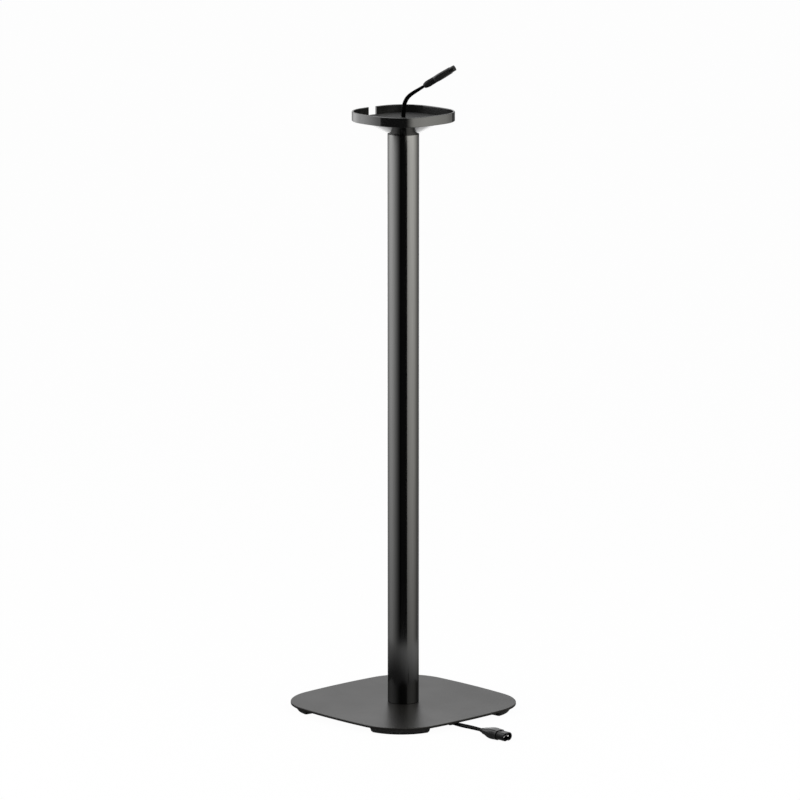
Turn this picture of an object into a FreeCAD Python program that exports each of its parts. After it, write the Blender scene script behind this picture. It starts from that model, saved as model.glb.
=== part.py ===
"""Floor stand for a compact loudspeaker.

A rounded-square steel plate on four corner feet carries an extruded tube.  A flared cone closes the
tube and carries a shallow tray.  One flat twin lead runs from a two-hole plug above the tray, down
the tube, along the plate's underside and out to a two-pin inline socket on the floor.

The frame: +Z up, the origin on the tube's axis at floor level, -Y the front, where the lead comes out,
and +Y the rear, where the tray's rim is slotted.  Lengths are in millimetres, angles in degrees.
"""
import FreeCAD, Part
import math
import os

import Sketcher
from FreeCAD import Placement, Rotation, Vector

# Each row of the sheet: the size's name, its value and what it measures.
SIZES = [
    ("plate_reach", 132.1, "base plate, centre to the middle of a side"),
    ("plate_corner", 70.7, "base plate, corner radius"),
    ("plate_bow", 859.0, "base plate, radius of its bowed sides"),
    ("plate_thick", 3.0, "base plate, thickness"),
    ("plate_edge", 0.7, "base plate, chamfer round its top edge"),
    ("foot_body", 6.8, "foot, height between the pad seat's rim and the plate"),
    ("foot_inset_top", 3.0, "foot, set back from the plate's corner at the top"),
    ("foot_inset_bottom", 8.4, "foot, set back from the plate's corner at the bottom"),
    ("foot_width", 22.0, "foot, width across its band at the top"),
    ("foot_spread", 38.4, "foot, half of the angle that its band covers at the top"),
    ("foot_spread_low", 40.2, "foot, the same at the bottom"),
    ("foot_round", 2.6, "foot, radius of its upright edges"),
    ("pad_margin", 0.9, "foot, rim left round the pad's seat"),
    ("pad_seat", 0.8, "foot pad, depth of its seat in the foot"),
    ("pad_angle", 1.4, "foot pad, set back from each end of the foot, as an angle"),
    ("pad_end_gap", 0.2, "foot pad, clearance at each end of its seat, as an angle"),
    ("pad_show", 1.2, "foot pad, height that stands out of the foot"),
    ("stud_angle", 22.0, "foot stud, angle off the corner's diagonal, seen from the corner's centre"),
    ("stud_radius", 1.5, "foot stud, radius"),
    ("stud_long", 5.0, "foot stud, length"),
    ("nut_flats", 5.5, "foot nut, width across flats"),
    ("nut_thick", 2.4, "foot nut, thickness"),
    ("nut_web", 2.2, "foot, web between the nut and the plate"),
    ("nut_room", 4.2, "foot, radius of the pocket round the nut"),
    ("column_radius", 21.4, "column, outer radius"),
    ("column_wall", 2.0, "column, wall thickness"),
    ("column_long", 784.5, "column, length"),
    ("column_edge", 0.5, "column, chamfer round its ends"),
    ("port_count", 4, "column, number of screw ports"),
    ("port_circle", 16.4, "column, radius of the circle that the screw ports stand on"),
    ("port_boss", 3.6, "column, outer radius of a screw port"),
    ("port_bore", 2.15, "column, bore radius of a screw port"),
    ("port_slit", 1.6, "column, width of the slit along a screw port"),
    ("slit_over", 1.0, "column, how far the slit's cut starts inside the screw port"),
    ("screw_radius", 2.05, "column screw, shank radius"),
    ("screw_bite", 18.0, "column screw, length inside the screw port"),
    ("screw_tip", 1.0, "column screw, length of its point"),
    ("sunk_head", 4.5, "column screw under the plate, head radius"),
    ("pan_head", 4.3, "column screw on the cone, head radius"),
    ("pan_high", 3.3, "column screw on the cone, head height"),
    ("pan_crown", 1.0, "column screw on the cone, slope round its head"),
    ("key_flats", 3.0, "column screws, width across flats of the key socket"),
    ("key_deep", 1.7, "column screws, depth of the key socket"),
    ("shadow_gap", 0.8, "cone, height of the dark line between it and the column"),
    ("shadow_step", 1.6, "cone, depth of that line"),
    ("cone_high", 16.2, "cone, height of its flared skirt"),
    ("cone_reach", 50.8, "cone, radius under the tray"),
    ("cone_lip", 0.8, "cone, upright edge under the tray"),
    ("spigot_radius", 12.2, "cone, radius of the spigot between the screw ports"),
    ("spigot_long", 14.0, "cone, length of the spigot"),
    ("spigot_bore", 8.0, "cone, radius of the way for the lead"),
    ("recess_radius", 26.0, "cone, radius of the recess under the tray"),
    ("recess_deep", 10.4, "cone, depth of the recess under the tray"),
    ("tray_reach", 63.1, "tray, centre to the middle of a side"),
    ("tray_corner", 45.3, "tray, corner radius"),
    ("tray_bow", 227.0, "tray, radius of its bowed sides"),
    ("tray_high", 13.0, "tray, height"),
    ("tray_wall", 2.4, "tray, rim thickness"),
    ("tray_floor", 1.8, "tray, floor thickness"),
    ("rim_round", 0.8, "tray, radius round the rim's top edges"),
    ("keel_round", 1.0, "tray, radius round its bottom edge"),
    ("slot_wide", 14.2, "tray, width of the slot through the rear rim"),
    ("tray_screw_count", 4, "tray screws, number of them"),
    ("tray_screw_circle", 37.0, "tray screws, radius of their circle"),
    ("tray_screw_radius", 1.45, "tray screw, shank radius"),
    ("tray_screw_head", 2.9, "tray screw, head radius"),
    ("tray_screw_long", 8.0, "tray screw, length"),
    ("tray_screw_tip", 0.5, "tray screw, length of its point"),
    ("pilot_spare", 0.6, "tray screw, depth of its hole beyond its point"),
    ("tray_key", 2.0, "tray screw, width across flats of the key socket"),
    ("tray_key_deep", 1.0, "tray screw, depth of the key socket"),
    ("mat_thick", 0.8, "tray pad, thickness"),
    ("mat_gap", 1.2, "tray pad, gap to the rim"),
    ("bush_neck", 4.8, "tray grommet, radius of the neck in the tray's floor"),
    ("bush_flange", 6.2, "tray grommet, radius of the flange on the floor"),
    ("bush_tail", 6.6, "tray grommet, radius of the flange under the floor"),
    ("bush_tail_thick", 1.6, "tray grommet, thickness of the flange under the floor"),
    ("bush_collar", 4.2, "tray grommet, radius of the collar round the lead"),
    ("bush_stand", 2.4, "tray grommet, height of the collar above the tray pad"),
    ("bush_edge", 0.5, "tray grommet, slope round the collar's top"),
    ("bushing_barrel", 8.4, "base bushing, radius in the plate"),
    ("bushing_bore", 6.6, "base bushing, bore radius"),
    ("bushing_flange", 10.6, "base bushing, radius of the flange on the plate"),
    ("bushing_flange_thick", 1.4, "base bushing, thickness of that flange"),
    ("bushing_tail", 0.6, "base bushing, length below the plate"),
    ("lead_wide", 5.8, "lead, width of the flat flex"),
    ("lead_thick", 3.4, "lead, thickness of the flat flex"),
    ("lead_bend", 9.0, "lead, radius of its bend under the column"),
    ("lead_drop", 3.2, "lead, its centreline below the plate's underside"),
    ("lead_inset", 13.8, "lead, from the plate's edge to the edge clip's outer face"),
    ("lead_room", 0.15, "clearance between the lead and what it passes through"),
    ("clip_long", 8.0, "lead clip, length along the lead"),
    ("clip_wall", 1.4, "lead clip, thickness of its walls"),
    ("clip_foot", 15.0, "lead clip, width of its sticky foot"),
    ("clip_foot_thick", 0.9, "lead clip, thickness of its sticky foot"),
    ("clip_first", 46.0, "lead clips, the inner one's middle from the column's axis"),
    ("fit_gap", 0.1, "clearance of a piece that sits in another"),
    ("plug_relief_long", 17.2, "plug, length of the strain relief"),
    ("plug_body_long", 24.0, "plug, length of the grip body"),
    ("plug_nose_long", 6.9, "plug, length of the nose beyond the body"),
    ("plug_tail_long", 6.0, "plug, length of the nose inside the body"),
    ("collar_share", 0.6, "plug, part of the strain relief that the smooth collar takes"),
    ("collar_wide", 13.0, "plug, width of the collar at its wide end"),
    ("collar_thick", 9.2, "plug, thickness of the collar at its wide end"),
    ("ring_count", 3, "plug, number of rings behind the grip body"),
    ("ring_groove", 0.9, "plug, depth of the grooves between the rings"),
    ("ring_share", 0.5, "plug, part of the rings' pitch that a ring takes"),
    ("plug_wide", 16.0, "plug, width of the grip body"),
    ("plug_thick", 9.6, "plug, thickness of the grip body"),
    ("nose_lobe", 3.95, "plug, radius of the nose's two lobes"),
    ("nose_lobe_apart", 6.3, "plug, distance between the lobes' centres"),
    ("nose_waist", 6.9, "plug, thickness of the nose's waist"),
    ("grip_deep", 0.7, "plug, depth of the grip panels"),
    ("grip_high", 4.6, "plug, height of the grip panels"),
    ("pole_apart", 8.6, "plug and socket, distance between the two poles"),
    ("sleeve_radius", 1.5, "plug, outer radius of a contact sleeve"),
    ("sleeve_bore", 1.22, "plug, bore radius of a contact sleeve"),
    ("sleeve_long", 9.0, "plug, length of a contact sleeve"),
    ("mouth_room", 0.1, "plug, clearance of the holes in its face round a pin"),
    ("nose_round", 0.6, "plug, radius round its front edge"),
    ("sleeve_sunk", 1.2, "plug, depth of the sleeves behind the nose's face"),
    ("socket_relief_long", 5.5, "socket, length of the neck collar"),
    ("socket_body_long", 28.0, "socket, length of the grip body"),
    ("socket_step_long", 1.6, "socket, length of the groove behind the shroud"),
    ("socket_shroud_long", 12.6, "socket, length of the shroud beyond the groove"),
    ("neck_wide", 7.6, "socket, width of the neck collar at the lead"),
    ("neck_thick", 5.4, "socket, thickness of the neck collar at the lead"),
    ("neck_flare", 2.6, "socket, growth of the neck collar toward the body"),
    ("socket_wide", 20.0, "socket, width of the grip body"),
    ("socket_thick", 13.8, "socket, thickness of the grip body"),
    ("shroud_lobe", 5.7, "socket, radius of the shroud's two lobes"),
    ("shroud_lobe_apart", 6.4, "socket, distance between the lobes' centres"),
    ("shroud_waist", 10.2, "socket, thickness of the shroud's waist"),
    ("shroud_wall", 1.5, "socket, wall thickness of the shroud"),
    ("shroud_step", 0.6, "socket, depth of the groove behind the shroud"),
    ("shroud_tail", 9.0, "socket, length of the shroud inside the grip body"),
    ("shroud_deep", 16.0, "socket, depth of the shroud's mouth"),
    ("shroud_round", 0.5, "socket, radius round the shroud's front edge"),
    ("pin_radius", 1.18, "socket, radius of a pin"),
    ("pin_round", 0.7, "socket, radius round a pin's tip"),
    ("pin_seat_gap", 0.02, "socket, clearance of a pin in its seat"),
    ("pin_back", 2.6, "socket, depth of the pins' tips behind the shroud's rim"),
    ("pin_root", 3.0, "socket, length of a pin inside the shroud's floor"),
]

# Routes of the lead's two free stretches, chosen by hand.  The upper one starts at the grommet's top:
# (distance along TOP_HEADING, height).  The lower one starts at the edge clip's outer face and ends at
# the socket: (x, y, z) from there.
TOP_HEADING = -56.2
TOP_ROUTE = [(0.0, 0.0), (0.2, 7.8), (1.4, 19.2), (6.9, 28.7), (18.7, 36.6), (29.2, 43.1)]
UNDER_HEADING = -99.4
BOTTOM_ROUTE = [(0.0, 0.0, 0.0), (-1.9, -15.4, 0.5), (-4.1, -31.9, 1.6), (-6.5, -48.2, 3.0),
                (-5.9, -64.3, 2.7)]
ARC_SHARE = 0.45
CORNERS = {"front_left": 225.0, "front_right": 315.0, "rear_left": 135.0, "rear_right": 45.0}
DIAGONAL = 45.0

# Stations along the moulded parts of the connectors: name, part of the length, then the width, the
# thickness and the corner radius, the last two as parts of the greatest thickness.
PLUG_COLLAR = [("start", 0.0, 0.66, 0.7), ("swell", 0.3, 0.88, 0.92), ("end", 1.0, 1.0, 1.0)]
PLUG_GRIP = [("start", 0.0, 0.82, 0.92, 0.4), ("swell", 0.22, 0.97, 1.0, 0.36),
             ("grip", 0.7, 1.0, 1.0, 0.34), ("end", 1.0, 0.97, 0.95, 0.34)]
SOCKET_GRIP = [("start", 0.0, 0.56, 0.62, 0.27), ("waist", 0.12, 0.63, 0.68, 0.3),
               ("swell", 0.36, 0.88, 0.9, 0.38), ("grip", 0.76, 1.0, 1.0, 0.44),
               ("end", 1.0, 0.98, 0.97, 0.43)]
# Where the plug's sunk panel starts, reaches its full height and ends, as parts of the grip's length.
PANEL_START, PANEL_FULL, PANEL_END = 0.06, 0.22, 0.93

doc = FreeCAD.newDocument("speaker_stand")
sheet = doc.addObject("Spreadsheet::Sheet", "Sizes")
for row, (alias, amount, meaning) in enumerate(SIZES, start=1):
    sheet.set(f"A{row}", meaning)
    sheet.set(f"B{row}", str(amount))
    sheet.setAlias(f"B{row}", alias)
doc.recompute()

# Levels and sizes that follow from the sheet, as expressions.
FOOT_UNDER = "Sizes.pad_show"
PLATE_UNDER = f"({FOOT_UNDER} + Sizes.foot_body)"
PLATE_TOP = f"({PLATE_UNDER} + Sizes.plate_thick)"
COLUMN_TOP = f"({PLATE_TOP} + Sizes.column_long)"
TRAY_UNDER = f"({COLUMN_TOP} + Sizes.shadow_gap + Sizes.cone_high)"
TRAY_FLOOR = f"({TRAY_UNDER} + Sizes.tray_floor)"
MAT_TOP = f"({TRAY_FLOOR} + Sizes.mat_thick)"
GROMMET_TOP = f"({MAT_TOP} + Sizes.bush_stand)"
LEAD_LEVEL = f"({PLATE_UNDER} - Sizes.lead_drop)"
CORNER_CENTRE = (
    "((sqrt(2 * (Sizes.plate_bow - Sizes.plate_corner)^2 - (Sizes.plate_bow - Sizes.plate_reach)^2)"
    " - (Sizes.plate_bow - Sizes.plate_reach)) / 2 * sqrt(2))"
)
STUD_RING = "(Sizes.plate_corner - (Sizes.foot_inset_top + Sizes.foot_inset_bottom + Sizes.foot_width) / 2)"
COLUMN_BORE = "(Sizes.column_radius - Sizes.column_wall)"
PIN_TIP = "(Sizes.shroud_deep - Sizes.pin_back)"
SHROUD_CORE = "(Sizes.shroud_lobe - Sizes.shroud_step)"
SHROUD_CORE_WAIST = "(Sizes.shroud_waist - 2 * Sizes.shroud_step)"
LEAD_UNDER = "(Sizes.plate_reach - Sizes.lead_inset)"


def value(expression):
    """The number that an expression on the sheet stands for."""
    return float(sheet.evalExpression(str(expression)))


# ---------------------------------------------------------------- sketching

def origin_part(body, role):
    """One of a body's own base planes or axes."""
    return next(part for part in body.Origin.OriginFeatures if part.Role == role)


def new_body(label, level="0", turn=0.0):
    """A body whose local zero stands at `level`, turned about the column's axis."""
    body = doc.addObject("PartDesign::Body", label)
    body.Label = label
    body.Placement = Placement(Vector(0, 0, 0), Rotation(Vector(0, 0, 1), turn))
    body.setExpression("Placement.Base.z", level)
    return body


def new_sketch(body, name, role="XY_Plane", level="0"):
    """A sketch on one of the body's base planes, raised off it by `level`."""
    sketch = body.newObject("Sketcher::SketchObject", f"{body.Name}_{name}")
    sketch.AttachmentSupport = [(origin_part(body, role), "")]
    sketch.MapMode = "FlatFace"
    sketch.setExpression("AttachmentOffset.Base.z", level)
    return sketch


def dimension(sketch, kind, *where, size):
    """A driving dimension bound to an expression."""
    index = sketch.addConstraint(Sketcher.Constraint(kind, *where, value(size)))
    sketch.renameConstraint(index, f"size_{index}")
    sketch.setExpression(f"Constraints.size_{index}", str(size))


def place(sketch, geometry, point, across, along):
    """Hold one point of a piece of geometry at (across, along) from the sketch's origin."""
    for kind, axis, size in (("DistanceX", -2, across), ("DistanceY", -1, along)):
        if str(size) == "0":
            sketch.addConstraint(Sketcher.Constraint("PointOnObject", geometry, point, axis))
        else:
            dimension(sketch, kind, -1, 1, geometry, point, size=size)


def circle(sketch, radius, across="0", along="0"):
    """A circle of that radius round a point."""
    centre = Vector(value(across), value(along), 0)
    index = sketch.addGeometry(Part.Circle(centre, Vector(0, 0, 1), value(radius)))
    dimension(sketch, "Radius", index, size=radius)
    place(sketch, index, 3, across, along)


def polygon(sketch, corners):
    """A closed outline through corners, each given as two expressions."""
    spots = [Vector(value(across), value(along), 0) for across, along in corners]
    count = len(spots)
    first = sketch.GeometryCount
    for index in range(count):
        sketch.addGeometry(Part.LineSegment(spots[index], spots[(index + 1) % count]))
    for index in range(count):
        following = first + (index + 1) % count
        sketch.addConstraint(Sketcher.Constraint("Coincident", first + index, 2, following, 1))
    for index, (across, along) in enumerate(corners):
        place(sketch, first + index, 1, across, along)


def box_outline(sketch, low_across, low_along, high_across, high_along):
    """An upright rectangle between two corners."""
    polygon(sketch, [(low_across, low_along), (high_across, low_along),
                     (high_across, high_along), (low_across, high_along)])


def hexagon(sketch, flats, across="0"):
    """A hexagon round a point on the sketch's X axis."""
    reach = f"({flats}) / 2"
    corner = f"({flats}) / 2 / cos(30)"
    half = f"({flats}) / 2 * tan(30)"
    polygon(sketch, [
        (f"{across} + {corner}", "0"), (f"{across} + {half}", reach), (f"{across} - {half}", reach),
        (f"{across} - {corner}", "0"), (f"{across} - {half}", f"0 - {reach}"),
        (f"{across} + {half}", f"0 - {reach}"),
    ])


def arc(sketch, centre, radius, start, end):
    """An arc between two angles in degrees, counted anticlockwise."""
    round_edge = Part.Circle(Vector(centre[0], centre[1], 0), Vector(0, 0, 1), radius)
    return sketch.addGeometry(Part.ArcOfCircle(round_edge, math.radians(start), math.radians(end)))


def join_smoothly(sketch, pieces):
    """Join each piece's end to the next one's start without a corner."""
    for index, piece in enumerate(pieces):
        following = pieces[(index + 1) % len(pieces)]
        sketch.addConstraint(Sketcher.Constraint("Tangent", piece[0], piece[2], following[0], following[1]))


def bowed_square(sketch, reach, corner, bow):
    """A square with bowed sides and round corners, centred on the sketch's origin."""
    side_offset = value(bow) - value(reach)
    corner_offset = (math.sqrt(2 * (value(bow) - value(corner)) ** 2 - side_offset ** 2) - side_offset) / 2
    lean = math.degrees(math.atan2(corner_offset, corner_offset + side_offset))
    sides = []
    corners = []
    for quarter in range(4):
        turn = Rotation(Vector(0, 0, 1), 90 * quarter)
        middle = turn.multVec(Vector(-side_offset, 0, 0))
        sides.append(arc(sketch, middle, value(bow), 90 * quarter - lean, 90 * quarter + lean))
        middle = turn.multVec(Vector(corner_offset, corner_offset, 0))
        corners.append(arc(sketch, middle, value(corner), 90 * quarter + lean, 90 * (quarter + 1) - lean))
    ring = [(piece, 1, 2) for pair in zip(sides, corners) for piece in pair]
    join_smoothly(sketch, ring)
    dimension(sketch, "Radius", sides[0], size=bow)
    dimension(sketch, "Radius", corners[0], size=corner)
    for index in range(1, 4):
        sketch.addConstraint(Sketcher.Constraint("Equal", sides[0], sides[index]))
        sketch.addConstraint(Sketcher.Constraint("Equal", corners[0], corners[index]))
    offset = f"({bow} - ({reach}))"
    place(sketch, sides[0], 3, f"0 - {offset}", "0")
    place(sketch, sides[1], 3, "0", f"0 - {offset}")
    place(sketch, sides[2], 3, offset, "0")
    place(sketch, sides[3], 3, "0", offset)


def oval(sketch, wide, thick):
    """A slot-shaped outline: two straight sides joined by half circles."""
    half = value(thick) / 2
    shift = (value(wide) - value(thick)) / 2
    right = arc(sketch, (shift, 0), half, -90, 90)
    top = sketch.addGeometry(Part.LineSegment(Vector(shift, half, 0), Vector(-shift, half, 0)))
    left = arc(sketch, (-shift, 0), half, 90, 270)
    low = sketch.addGeometry(Part.LineSegment(Vector(-shift, -half, 0), Vector(shift, -half, 0)))
    join_smoothly(sketch, [(right, 1, 2), (top, 1, 2), (left, 1, 2), (low, 1, 2)])
    sketch.addConstraint(Sketcher.Constraint("Equal", right, left))
    dimension(sketch, "Radius", right, size=f"({thick}) / 2")
    place(sketch, right, 3, f"(({wide}) - ({thick})) / 2", "0")
    place(sketch, left, 3, f"(({thick}) - ({wide})) / 2", "0")


def soft_box(sketch, wide, thick, radius):
    """A rectangle with round corners, centred on the sketch's origin."""
    across = value(wide) / 2 - value(radius)
    along = value(thick) / 2 - value(radius)
    ring = []
    corners = []
    for quarter, (side_x, side_y) in enumerate(((1, 1), (-1, 1), (-1, -1), (1, -1))):
        start = 90 * quarter
        corners.append(arc(sketch, (side_x * across, side_y * along), value(radius), start, start + 90))
        here = Vector(side_x * across, side_y * along, 0)
        ahead = ((-1, 1), (-1, -1), (1, -1), (1, 1))[quarter]
        there = Vector(ahead[0] * across, ahead[1] * along, 0)
        out = Rotation(Vector(0, 0, 1), start + 90).multVec(Vector(value(radius), 0, 0))
        line = sketch.addGeometry(Part.LineSegment(here + out, there + out))
        ring += [(corners[-1], 1, 2), (line, 1, 2)]
    join_smoothly(sketch, ring)
    for index in range(1, 4):
        sketch.addConstraint(Sketcher.Constraint("Equal", corners[0], corners[index]))
    dimension(sketch, "Radius", corners[0], size=radius)
    x_place = f"(({wide}) / 2 - ({radius}))"
    y_place = f"(({thick}) / 2 - ({radius}))"
    for piece, (side_x, side_y) in zip(corners, (("", ""), ("0 - ", ""), ("0 - ", "0 - "), ("", "0 - "))):
        place(sketch, piece, 3, side_x + x_place, side_y + y_place)


def figure_eight(sketch, lobe, apart, waist):
    """Two round lobes joined by hollow waists, the outline of a two-pole connector."""
    shift = value(apart) / 2
    half = value(waist) / 2
    hollow = (shift ** 2 + half ** 2 - value(lobe) ** 2) / (2 * (value(lobe) - half))
    lean = math.degrees(math.atan2(half + hollow, shift))
    right = arc(sketch, (shift, 0), value(lobe), lean - 180, 180 - lean)
    top = arc(sketch, (0, half + hollow), hollow, 180 + lean, 360 - lean)
    left = arc(sketch, (-shift, 0), value(lobe), lean, 360 - lean)
    low = arc(sketch, (0, -half - hollow), hollow, lean, 180 - lean)
    join_smoothly(sketch, [(right, 1, 2), (top, 2, 1), (left, 1, 2), (low, 2, 1)])
    sketch.addConstraint(Sketcher.Constraint("Equal", right, left))
    sketch.addConstraint(Sketcher.Constraint("Equal", top, low))
    dimension(sketch, "Radius", right, size=lobe)
    place(sketch, right, 3, f"({apart}) / 2", "0")
    place(sketch, left, 3, f"0 - ({apart}) / 2", "0")
    squeeze = f"(({apart})^2 / 4 + ({waist})^2 / 4 - ({lobe})^2) / (2 * ({lobe}) - ({waist}))"
    dimension(sketch, "Radius", top, size=squeeze)


def band(sketch, inset, spread, shrink="0"):
    """A round-cornered band that follows the plate's corner, whose diagonal is the sketch's X axis."""
    outer = f"(Sizes.plate_corner - {inset} - {shrink})"
    inner = f"(Sizes.plate_corner - Sizes.foot_inset_top - Sizes.foot_width + {shrink})"
    corner = f"(Sizes.foot_round - {shrink} / 2)"
    far_end = f"sqrt(({outer} - {corner})^2 - {corner}^2)"
    middle = Vector(value(CORNER_CENTRE), 0, 0)
    angle = value(spread)
    radius = value(corner)
    far = value(outer) - radius
    near = value(inner) + radius
    far_lean = math.degrees(math.asin(radius / far))
    near_lean = math.degrees(math.asin(radius / near))

    def on_ray(turn, distance):
        return middle + Rotation(Vector(0, 0, 1), turn).multVec(Vector(distance, 0, 0))

    outside = arc(sketch, middle, value(outer), far_lean - angle, angle - far_lean)
    top_far = arc(sketch, on_ray(angle - far_lean, far), radius, angle - far_lean, angle + 90)
    top = sketch.addGeometry(Part.LineSegment(on_ray(angle, value(far_end)),
                                              on_ray(angle, math.sqrt(near ** 2 - radius ** 2))))
    top_near = arc(sketch, on_ray(angle - near_lean, near), radius, angle + 90, angle - near_lean + 180)
    inside = arc(sketch, middle, value(inner), near_lean - angle, angle - near_lean)
    low_near = arc(sketch, on_ray(near_lean - angle, near), radius, near_lean - angle + 180, 270 - angle)
    low = sketch.addGeometry(Part.LineSegment(on_ray(-angle, math.sqrt(near ** 2 - radius ** 2)),
                                              on_ray(-angle, value(far_end))))
    low_far = arc(sketch, on_ray(far_lean - angle, far), radius, -90 - angle, far_lean - angle)
    join_smoothly(sketch, [(outside, 1, 2), (top_far, 1, 2), (top, 1, 2), (top_near, 1, 2), (inside, 2, 1),
                           (low_near, 1, 2), (low, 1, 2), (low_far, 1, 2)])
    sketch.addConstraint(Sketcher.Constraint("Coincident", inside, 3, outside, 3))
    for other in (top_near, low_near, low_far):
        sketch.addConstraint(Sketcher.Constraint("Equal", top_far, other))
    for end in (top, low):
        sketch.addConstraint(Sketcher.Constraint("PointOnObject", outside, 3, end))
    place(sketch, outside, 3, CORNER_CENTRE, "0")
    dimension(sketch, "Radius", outside, size=outer)
    dimension(sketch, "Radius", inside, size=inner)
    dimension(sketch, "Radius", top_far, size=corner)
    dimension(sketch, "DistanceY", -1, 1, top, 1, size=f"{far_end} * sin({spread})")
    dimension(sketch, "DistanceY", -1, 1, low, 2, size=f"0 - {far_end} * sin({spread})")


# ---------------------------------------------------------------- features

def feature(body, kind, name, **settings):
    """A feature of a body, with its plain settings."""
    made = body.newObject(f"PartDesign::{kind}", f"{body.Name}_{name}")
    for key, setting in settings.items():
        setattr(made, key, setting)
    return made


def pad(body, name, sketch, length):
    """Extrude a sketch away from its plane."""
    made = feature(body, "Pad", name, Profile=sketch)
    made.setExpression("Length", length)
    sketch.Visibility = False
    return made


def pocket(body, name, sketch, depth=None, upward=False):
    """Cut a sketch down into the body, or upward, by a depth or right through."""
    made = feature(body, "Pocket", name, Profile=sketch, Reversed=upward)
    if depth is None:
        made.Type = "ThroughAll"
        made.Midplane = True
    else:
        made.setExpression("Length", depth)
    return made


def revolve(body, name, sketch):
    """Turn a sketch on the XZ plane about the body's Z axis."""
    return feature(body, "Revolution", name, Profile=sketch, Angle=360,
                   ReferenceAxis=(origin_part(body, "Z_Axis"), [""]))


def loft(body, name, sketches, ruled=False):
    """Blend through sketches of like outline."""
    return feature(body, "AdditiveLoft", name, Profile=sketches[0], Sections=sketches[1:], Ruled=ruled)


def around(body, name, originals, count):
    """Repeat features about the body's Z axis."""
    made = feature(body, "PolarPattern", name, Originals=originals, Angle=360,
                   Axis=(origin_part(body, "Z_Axis"), [""]))
    made.setExpression("Occurrences", str(count))
    body.Tip = made
    return made


def mirrored(body, name, originals, role):
    """Repeat features on the other side of one of the body's base planes."""
    made = feature(body, "Mirrored", name, Originals=originals,
                   MirrorPlane=(origin_part(body, role), [""]))
    body.Tip = made
    return made


def edges_where(body, test):
    """Names of the edges of the body's last feature that a test picks."""
    doc.recompute()
    shape = body.Tip.Shape
    return [f"Edge{index}" for index, edge in enumerate(shape.Edges, start=1) if test(edge)]


def lies_at(edge, level):
    """Whether an edge lies in the level plane at that local height."""
    box = edge.BoundBox
    return abs(box.ZMin - level) < 1e-4 and abs(box.ZMax - level) < 1e-4


def is_round(edge, radius):
    """Whether an edge is a circle of that radius."""
    return hasattr(edge.Curve, "Radius") and abs(edge.Curve.Radius - radius) < 1e-4


def soften(body, name, kind, size, test):
    """Fillet or chamfer the edges that a test picks."""
    names = edges_where(body, test)
    made = feature(body, kind, name, Base=(body.Tip, names))
    made.setExpression("Radius" if kind == "Fillet" else "Size", size)
    return made


# ---------------------------------------------------------------- base

def base_plate():
    """Steel plate with a way for the lead and countersunk holes for the column's screws."""
    body = new_body("base_plate", PLATE_UNDER)
    outline = new_sketch(body, "outline")
    bowed_square(outline, "Sizes.plate_reach", "Sizes.plate_corner", "Sizes.plate_bow")
    pad(body, "sheet", outline, "Sizes.plate_thick")
    top = value("Sizes.plate_thick")
    soften(body, "edge", "Chamfer", "Sizes.plate_edge", lambda edge: lies_at(edge, top))
    way = new_sketch(body, "way")
    circle(way, "Sizes.bushing_barrel + Sizes.fit_gap")
    pocket(body, "lead_way", way)
    hole = new_sketch(body, "hole")
    circle(hole, "Sizes.screw_radius + Sizes.fit_gap", f"Sizes.port_circle * cos({DIAGONAL})",
           f"Sizes.port_circle * sin({DIAGONAL})")
    screw_way = pocket(body, "screw_way", hole)
    around(body, "screw_ways", [screw_way], "Sizes.port_count")
    bore = value("Sizes.screw_radius + Sizes.fit_gap")
    soften(body, "countersinks", "Chamfer", "Sizes.sunk_head - Sizes.screw_radius",
           lambda edge: lies_at(edge, 0) and is_round(edge, bore))
    return body


def foot(name, turn):
    """Moulded foot that follows the plate's corner, seated under it."""
    body = new_body(f"foot_{name}", FOOT_UNDER, turn)
    low = new_sketch(body, "low")
    band(low, "Sizes.foot_inset_bottom", "Sizes.foot_spread_low")
    high = new_sketch(body, "high", level="Sizes.foot_body")
    band(high, "Sizes.foot_inset_top", "Sizes.foot_spread")
    loft(body, "block", [low, high], ruled=True)
    seat = new_sketch(body, "seat")
    band(seat, "Sizes.foot_inset_bottom", "Sizes.foot_spread_low - Sizes.pad_angle", "Sizes.pad_margin")
    pocket(body, "pad_seat", seat, "Sizes.pad_seat", upward=True)
    rooms = new_sketch(body, "rooms", level="Sizes.pad_seat")
    stud_circles(rooms, "Sizes.nut_room")
    ways = new_sketch(body, "ways")
    stud_circles(ways, "Sizes.stud_radius + Sizes.fit_gap")
    pocket(body, "nut_rooms", rooms, "Sizes.foot_body - Sizes.nut_web - Sizes.pad_seat", upward=True)
    pocket(body, "stud_ways", ways)
    return body


def foot_pad(name, turn):
    """Soft pad set into the underside of a foot."""
    body = new_body(f"foot_pad_{name}", "0", turn)
    outline = new_sketch(body, "outline")
    band(outline, "Sizes.foot_inset_bottom", "Sizes.foot_spread_low - Sizes.pad_angle - Sizes.pad_end_gap",
         "Sizes.pad_margin + Sizes.fit_gap")
    pad(body, "sheet", outline, "Sizes.pad_show + Sizes.pad_seat")
    return body


def stud_spots(sketch, draw):
    """Draw something at both stud places of the foot whose diagonal is the sketch's X axis."""
    for sign in ("", "0 - "):
        draw(sketch, f"{CORNER_CENTRE} + {STUD_RING} * cos(Sizes.stud_angle)",
             f"{sign}{STUD_RING} * sin(Sizes.stud_angle)")


def stud_circles(sketch, radius):
    """A circle at both stud places."""
    stud_spots(sketch, lambda target, across, along: circle(target, radius, across, along))


def foot_studs():
    """Studs welded under the plate, two above each foot."""
    body = new_body("foot_studs", f"{PLATE_UNDER} - Sizes.stud_long", DIAGONAL)
    spots = new_sketch(body, "spots")
    stud_circles(spots, "Sizes.stud_radius")
    studs = pad(body, "pair", spots, "Sizes.stud_long")
    around(body, "studs", [studs], len(CORNERS))
    return body


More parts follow.
